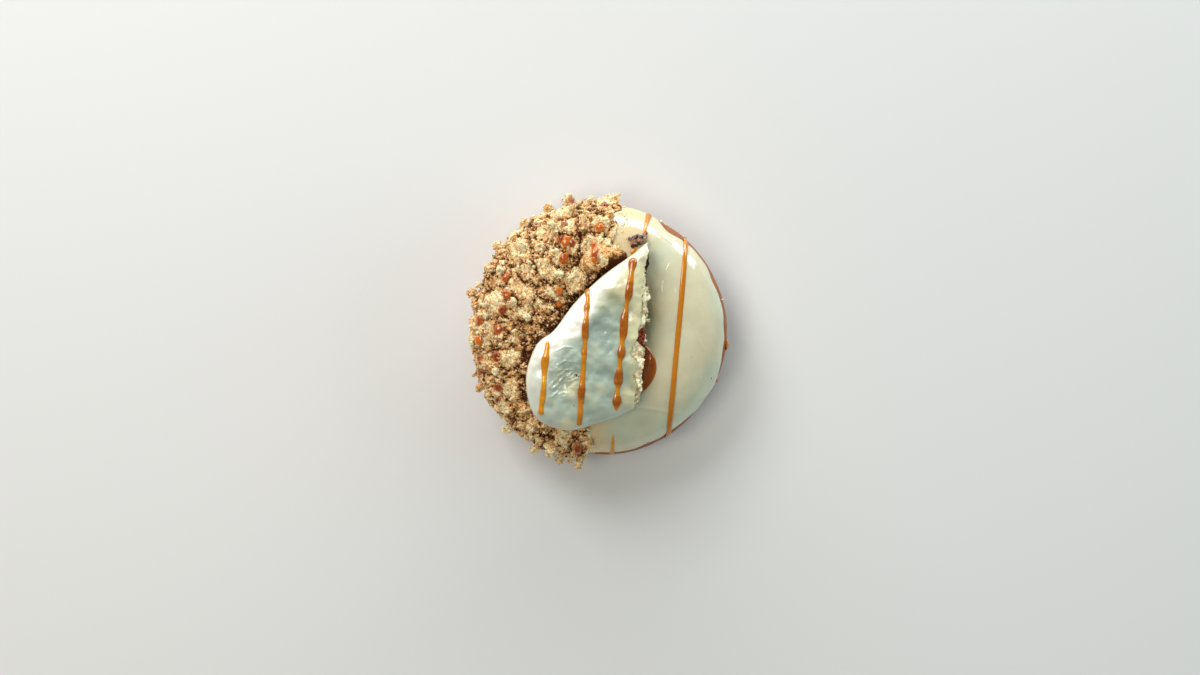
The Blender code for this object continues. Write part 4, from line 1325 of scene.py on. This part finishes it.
even_steps = (np.arange(60) + 0.5) * math.pi / 60
over_top = np.arcsin(np.linspace(0.012, 0.95, 110) ** (1 / RIM_POWER))
round_rim = np.linspace(over_top[-1], math.pi - over_top[-1], 60)[1:-1]
fine_steps = np.concatenate([over_top, round_rim, math.pi - over_top[::-5]])
rows = biscuit_rows(0.0, BODY_SIDES, fine_steps, relief=True)
points, faces = skin(rows, wrapped=False)
shell = raw_object("white_coating_shell", seated(points), faces)
points, faces = skin(biscuit_rows(COATING_THICKNESS, 120, even_steps), wrapped=False)
hollow = raw_object("coating_hollow", seated(points), faces)
break_line = ragged_cutter("coating_break", 0.0, 0.8 * MM, COATING_NOTCHES, (400, 60))
shell = shaped(shell, [("DIFFERENCE", hollow), ("DIFFERENCE", break_line)])
shell.data.materials.append(make_coating_finish())
level = np.array([vertex.co[:] for vertex in shell.data.vertices])
level = (level - SEAT_PLACE) @ SEAT_TURN
bumps = swell(level[:, 0], level[:, 1]) + fine_relief(level[:, 0], level[:, 1])
from_middle = level[:, :2] - BISCUIT_MIDDLE
direction = np.arctan2(from_middle[:, 1], from_middle[:, 0])
rim = np.hypot(*from_middle.T) / outline_reach(direction)
# Painted light, carried by the thick mark: the rim is painted whiter, most on the side towards the
# light.
toward_light = np.clip(np.cos(direction - LIT_SIDE), 0, 1)
thick = np.clip((rim - 0.76 + 0.4 * toward_light) / 0.24, 0, 1) * (0.2 + 0.8 * toward_light)
creamy = np.maximum((level[:, 1] - 2 * MM) / (10 * MM), (level[:, 0] - 6 * MM) / (5 * MM))
cool = 1 - 0.85 * np.clip(creamy, 0, 1)
for name, values in (("height", bumps / MM), ("thick", thick), ("cool", cool)):
    values_on_mesh = shell.data.attributes.new(name, "FLOAT", "POINT")
    values_on_mesh.data.foreach_set("value", values.astype(np.float32))
settle(shell, ["coating"])


# The caramel lines on the coating
# The same drizzle crossed the biscuit. On the smooth coating it drew together into
# thick drops joined by thin necks, each line ending in a drop.

# Plan places along each line and its half-width at each, in millimetres.
COATING_LINES = (
    (
        ((-20.6, -6.0), 0.7),
        ((-20.9, -9.0), 1.0),
        ((-21.7, -13.7), 1.5),
        ((-21.9, -19.7), 0.85),
        ((-22.4, -26.3), 1.15),
        ((-23.0, -30.0), 0.95),
        ((-23.2, -32.8), 1.25),
    ),
    (
        ((-6.0, 13.2), 1.2),
        ((-5.9, 9.4), 0.75),
        ((-6.3, 6.3), 1.15),
        ((-6.4, 3.4), 0.85),
        ((-7.0, -0.8), 1.3),
        ((-7.0, -3.9), 1.3),
        ((-7.1, -7.0), 0.75),
        ((-7.4, -10.4), 1.15),
        ((-7.5, -13.0), 0.85),
        ((-7.9, -18.9), 0.95),
        ((-8.4, -25.1), 1.4),
        ((-8.6, -29.6), 0.95),
        ((-9.0, -36.8), 1.05),
    ),
    (
        ((10.7, 25.0), 1.3),
        ((10.6, 23.1), 1.7),
        ((10.0, 19.1), 0.95),
        ((8.9, 11.4), 1.45),
        ((8.3, 7.7), 0.75),
        ((7.3, 2.0), 1.55),
        ((7.1, -2.4), 1.55),
        ((6.5, -6.7), 0.85),
        ((6.2, -10.4), 1.55),
        ((5.8, -13.7), 0.8),
        ((5.2, -20.5), 1.7),
        ((4.9, -23.6), 0.65),
        ((4.7, -28.0), 1.7),
        ((4.6, -31.2), 0.7),
    ),
)

# How deep the caramel stands in each line against its width: the first is thin.
LINE_DEPTHS = (0.6, 1.0, 1.0)

beads = []
for places, share in zip(COATING_LINES, LINE_DEPTHS):
    x, y, half = along_line(places, LINE_STEP)
    heights = biscuit_top(x, y) + fine_relief(x, y)
    centres = np.stack([x, y, heights], axis=-1)
    slope = 0.4 * MM
    rise_x = (biscuit_top(x + slope, y) - biscuit_top(x - slope, y)) / (2 * slope)
    rise_y = (biscuit_top(x, y + slope) - biscuit_top(x, y - slope)) / (2 * slope)
    ups = np.stack([-np.clip(rise_x, -3, 3), -np.clip(rise_y, -3, 3), 0 * x + 1], axis=-1)
    ups /= np.linalg.norm(ups, axis=1, keepdims=True)
    rows = bead_rows(centres, ups, half, height_share=0.6)
    beads.append((seated(rows), half * share))
points, faces, depths = join_skins(beads)
marks = {"depth": depths}
make_piece("coating_caramel_lines", points, faces, amber, ["coating"], marks)


# Specks of dark biscuit stuck to the coating: plan place and radius, in millimetres.
COATING_SPECKS = ((-10.2, -18.4, 0.5), (-9.4, -18.9, 0.3), (-11.0, -29.6, 0.3))

spots = np.array(COATING_SPECKS) * MM
heights = biscuit_top(spots[:, 0], spots[:, 1]) + fine_relief(spots[:, 0], spots[:, 1])
places = seated(np.column_stack([spots[:, :2], heights + 0.3 * spots[:, 2]]))
points, faces, tone = broken_crumbs(places, spots[:, 2], np.full(len(spots), -0.4), 3, 69)
marks = {"tone": tone}
make_piece("coating_specks", points, faces, crumbly, ["coating"], marks)


# The inside of the broken biscuit
# Two layers of pale, short-textured biscuit with dark caramel between them. They run
# through the coating and end in ragged, crumbly faces along the break.

FILLING_BOTTOM = -0.6 * MM
FILLING_TOP = 2.0 * MM
LAYER_GAP = 0.12 * MM
LAYER_INSET = COATING_THICKNESS + 0.12 * MM
# Where each layer broke off shorter: plan place y, half-width and depth, in millimetres.
BASE_NOTCHES = ((22, 7, 2.0), (32, 5, 3.0), (-4, 3.4, 1.2))
UPPER_NOTCHES = ((-4, 3.4, 4.2), (22, 7, 2.3), (32, 5, 3.0))
FILLING_NOTCHES = ((-4, 3, -0.9), (26, 5, -0.5), (35, 4, 3.5))


def make_biscuit_finish():
    biscuit = new_material("pale_biscuit", {"Roughness": 0.85, "Specular IOR Level": 0.25})
    open_crumb = between(biscuit, grain(biscuit, 2.0 * MM, 3.0), 0.36, 0.6)
    tone = mixed(biscuit, open_crumb, colour(184, 160, 110), colour(255, 248, 218))
    wear(biscuit, "Base Color", tone)
    raise_relief(biscuit, grain(biscuit, 0.7 * MM, 3.0), 0.3 * MM)
    return biscuit


def make_filling_finish():
    filling = new_material(
        "dark_caramel_filling",
        {
            "Roughness": 0.2,
            "Subsurface Weight": 0.2,
            "Subsurface Radius": (1.0, 0.3, 0.1),
            "Subsurface Scale": 0.6 * MM,
            "Coat Weight": 0.4,
        },
    )
    streaks = between(filling, grain(filling, 0.8 * MM, 3.0), 0.4, 0.62)
    tone = mixed(filling, streaks, colour(74, 18, 8), colour(206, 92, 50))
    # Painted shade: from y of 8 mm, and fully past 13 mm, the filling is darkened almost black to
    # stand for the shadowed gap under the coating's edge at the north end of the break.
    spot = add_node(filling, "TexCoord", {}, {}).outputs["Object"]
    along_break = add_node(filling, "SeparateXYZ", {}, {"Vector": spot}).outputs["Y"]
    painted_gap_shade = between(filling, along_break, 8 * MM, 13 * MM)
    tone = mixed(filling, painted_gap_shade, tone, colour(50, 30, 18))
    wear(filling, "Base Color", tone)
    raise_relief(filling, grain(filling, 0.8 * MM, 3.0), 0.2 * MM)
    return filling


def layer(name, bottom, top, cutter, material, slot, node):
    """One layer inside the coating, ending in its own ragged face."""
    points, faces = skin(biscuit_rows(LAYER_INSET, 120, even_steps), wrapped=False)
    body = raw_object(name, seated(points), faces)
    half = 60 * MM
    lows = np.array([[-half, -half], [half, -half], [half, half], [-half, half]])
    rings = [np.column_stack([lows, np.full(4, height)]) for height in (top, bottom)]
    points, faces = skin(np.stack(rings), wrapped=False)
    band = raw_object(name + "_band", seated(points), faces)
    body = shaped(body, [("INTERSECT", band), ("DIFFERENCE", cutter)])
    body.data.materials.append(material)
    settle(body, [node])


pale_biscuit = make_biscuit_finish()
cutter = ragged_cutter("base_break", 2.5 * MM, 0.7 * MM, BASE_NOTCHES, (400, 120))
base_top = FILLING_BOTTOM - LAYER_GAP
layer("biscuit_lower_layer", -20 * MM, base_top, cutter, pale_biscuit, "biscuit", "biscuit_base")
cutter = ragged_cutter("filling_break", 1.6 * MM, 0.5 * MM, FILLING_NOTCHES, (400, 120))
filling = make_filling_finish()
bounds = (FILLING_BOTTOM, FILLING_TOP)
layer("caramel_filling_layer", *bounds, cutter, filling, "caramel_filling", "caramel_filling")
cutter = ragged_cutter("upper_break", 2.1 * MM, 1.1 * MM, UPPER_NOTCHES, (400, 120))
top_low = FILLING_TOP + LAYER_GAP
layer("biscuit_upper_layer", top_low, 20 * MM, cutter, pale_biscuit, "biscuit", "biscuit_top")

# Stretches of the break that crumbs cling to: where each starts and ends, how far from
# the tear the crumbs lie and how widely, their lowest and highest place, and their number.
BREAK_STRETCHES = (
    (-24.0, -7.6, 0.7, 1.1, -1.0, 6.6, 150),
    (-1.2, 15.0, 1.6, 1.0, -1.0, 6.6, 80),
    (-7.6, -1.2, 2.7, 0.3, -1.4, 0.4, 16),
)
draw = np.random.default_rng(71)
spots = []
for start, end, beyond, spread, low, high, count in BREAK_STRETCHES:
    y = draw.uniform(start, end, count) * MM
    x = tear_line(y) + draw.normal(beyond, spread, count) * MM
    spots.append(np.stack([x, y, draw.uniform(low, high, count) * MM], axis=-1))
places = seated(np.concatenate(spots))
radii = (0.4 + 0.9 * draw.uniform(0, 1, len(places)) ** 2) * MM
layers = ("biscuit_lower_layer", "caramel_filling_layer", "biscuit_upper_layer")
held = touching(places, radii, layers)
places, radii = places[held], radii[held]
points, faces, _ = broken_crumbs(places, radii, np.ones(len(radii)), 2, 72, grainy=0.5)
make_piece("break_crumbs", points, faces, pale_biscuit, ["biscuit_top"], (), False)


# The caramel pool
# Caramel that ran down the break and gathered on the icing beside it, in a half-moon
# with a rounded edge that holds its shape.

POOL_NORTH = -6.0 * MM
POOL_SOUTH = -24.6 * MM
POOL_FROM_TEAR = 2.4 * MM
POOL_WIDTH = 5.6 * MM
POOL_DEPTH = 1.0 * MM
POOL_GRID = (72, 36)

round_pool = np.arange(POOL_GRID[0])[None, :] * math.tau / POOL_GRID[0]
polar = (np.arange(POOL_GRID[1]) + 0.5)[:, None] * math.pi / POOL_GRID[1]
ball_x, ball_y = np.sin(polar) * np.cos(round_pool), np.sin(polar) * np.sin(round_pool)
ball_z = np.cos(polar) * np.ones_like(round_pool)
share = 0.5 + 0.5 * ball_y
y = POOL_SOUTH + (POOL_NORTH - POOL_SOUTH) * share
bulge = POOL_WIDTH * np.sin(math.pi * share) ** 0.7
x = tear_line(y) + POOL_FROM_TEAR
x = x + bulge * (0.5 + 0.5 * ball_x / np.sqrt(np.maximum(1e-6, 1 - ball_y**2)))
lift = ICING_TOP + np.where(ball_z > 0, POOL_DEPTH * np.abs(ball_z) ** 0.7, 0.2 * MM * ball_z)
points, faces = skin(surface_over(x, y, lift), wrapped=False)
depth = np.clip(0.55 + 0.5 * ball_z, 0, 1).ravel()
marks = {"depth": np.concatenate([depth, [1.0, 0.0]])}
pool_tones = colour(204, 128, 8), colour(176, 96, 2), colour(136, 62, 0)
pooled = make_caramel("pooled_caramel", *pool_tones)
make_piece("caramel_pool_surface", points, faces, pooled, ["caramel_pool"], marks)


# The dark scrap
# A scrap of dark, sticky biscuit at the tip of the broken piece, with a loose bit of it
# beside it on the icing.

# Plan place about the axis and radius of each piece of the scrap, in millimetres.
SCRAP_PLACES = (
    (13.8, 33.0, 2.3),
    (12.2, 32.2, 1.9),
    (11.6, 31.0, 1.2),
    (10.4, 33.3, 0.9),
    (15.7, 34.7, 0.8),
    (16.4, 35.5, 0.6),
)


def make_scrap_finish():
    scrap = new_material("dark_scrap", {"Roughness": 0.3, "Coat Weight": 0.5})
    share = between(scrap, grain(scrap, 2.6 * MM, 3.0), 0.44, 0.58)
    tone = mixed(scrap, share, colour(52, 18, 18), colour(184, 140, 112))
    wear(scrap, "Base Color", tone)
    raise_relief(scrap, grain(scrap, 0.6 * MM, 3.0), 0.25 * MM)
    return scrap


spots = np.array(SCRAP_PLACES) * MM
lift = ICING_TOP + 0.55 * spots[:, 2]
places = surface_over(spots[:, 0], spots[:, 1], lift)
points, faces, tone = broken_crumbs(places, spots[:, 2] * 1.35, [0.5] * len(spots), 4, 81)
make_piece("dark_scrap_bits", points, faces, make_scrap_finish(), ["dark_scrap"])


# The floor, the light and the camera
# A plain pale floor, a broad low soft light from beyond the doughnut's far side with a
# small one above it, a cool one at its right, a warm one overhead, and the photograph's
# view from nearly straight above.

TILT = math.radians(4)
CAMERA_DISTANCE = 0.765
AIM = Vector((AXIS[0] - 1.0 * MM, AXIS[1] - 2.3 * MM, EQUATOR_HEIGHT))


def make_floor():
    bpy.ops.mesh.primitive_plane_add(size=6.0)
    floor = bpy.context.object
    floor.name = "floor"
    pale = new_material("pale_floor", {"Base Color": colour(220, 220, 220), "Roughness": 0.8})
    floor.data.materials.append(pale)


def soft_light(name, bearing, elevation, distance, size, power, tint=(1, 1, 1), mirrored=True):
    """A soft box at a bearing and elevation in degrees that faces the doughnut."""
    data = bpy.data.lights.new(name, "AREA")
    data.shape = "RECTANGLE"
    data.size, data.size_y = size
    data.energy = power
    data.color = tint
    lamp = bpy.data.objects.new(name, data)
    bearing, elevation = math.radians(bearing), math.radians(elevation)
    flat = math.cos(elevation) * distance
    away = Vector((flat * math.cos(bearing), flat * math.sin(bearing), 0))
    away.z = math.sin(elevation) * distance
    lamp.location = AIM + away
    lamp.rotation_euler = away.to_track_quat("Z", "Y").to_euler()
    lamp.visible_glossy = mirrored
    bpy.context.scene.collection.objects.link(lamp)


make_floor()
soft_light("window", 84, 12, 1.0, (2.0, 0.32), 15.5)
soft_light("high_window", 130, 46, 1.0, (0.45, 0.45), 4.8)
soft_light("side_window", 5, 24, 1.2, (0.8, 0.5), 3.2, tint=(0.6, 1.0, 1.15), mirrored=False)
soft_light("overhead", 210, 68, 1.4, (0.5, 0.5), 5.9, tint=(1.0, 0.94, 0.8), mirrored=False)

world = bpy.data.worlds.new("studio")
world.use_nodes = True
world.node_tree.nodes["Background"].inputs["Color"].default_value = (1.0, 0.97, 0.89, 1)
world.node_tree.nodes["Background"].inputs["Strength"].default_value = 0.19
bpy.context.scene.world = world
bpy.context.scene.view_settings.view_transform = "Standard"

camera_data = bpy.data.cameras.new("camera")
camera_data.lens = 60
camera_data.sensor_width = 36
camera = bpy.data.objects.new("camera", camera_data)
camera.location = AIM + CAMERA_DISTANCE * Vector((0, -math.sin(TILT), math.cos(TILT)))
camera.rotation_euler = (TILT, 0, 0)
bpy.context.scene.collection.objects.link(camera)
bpy.context.scene.camera = camera
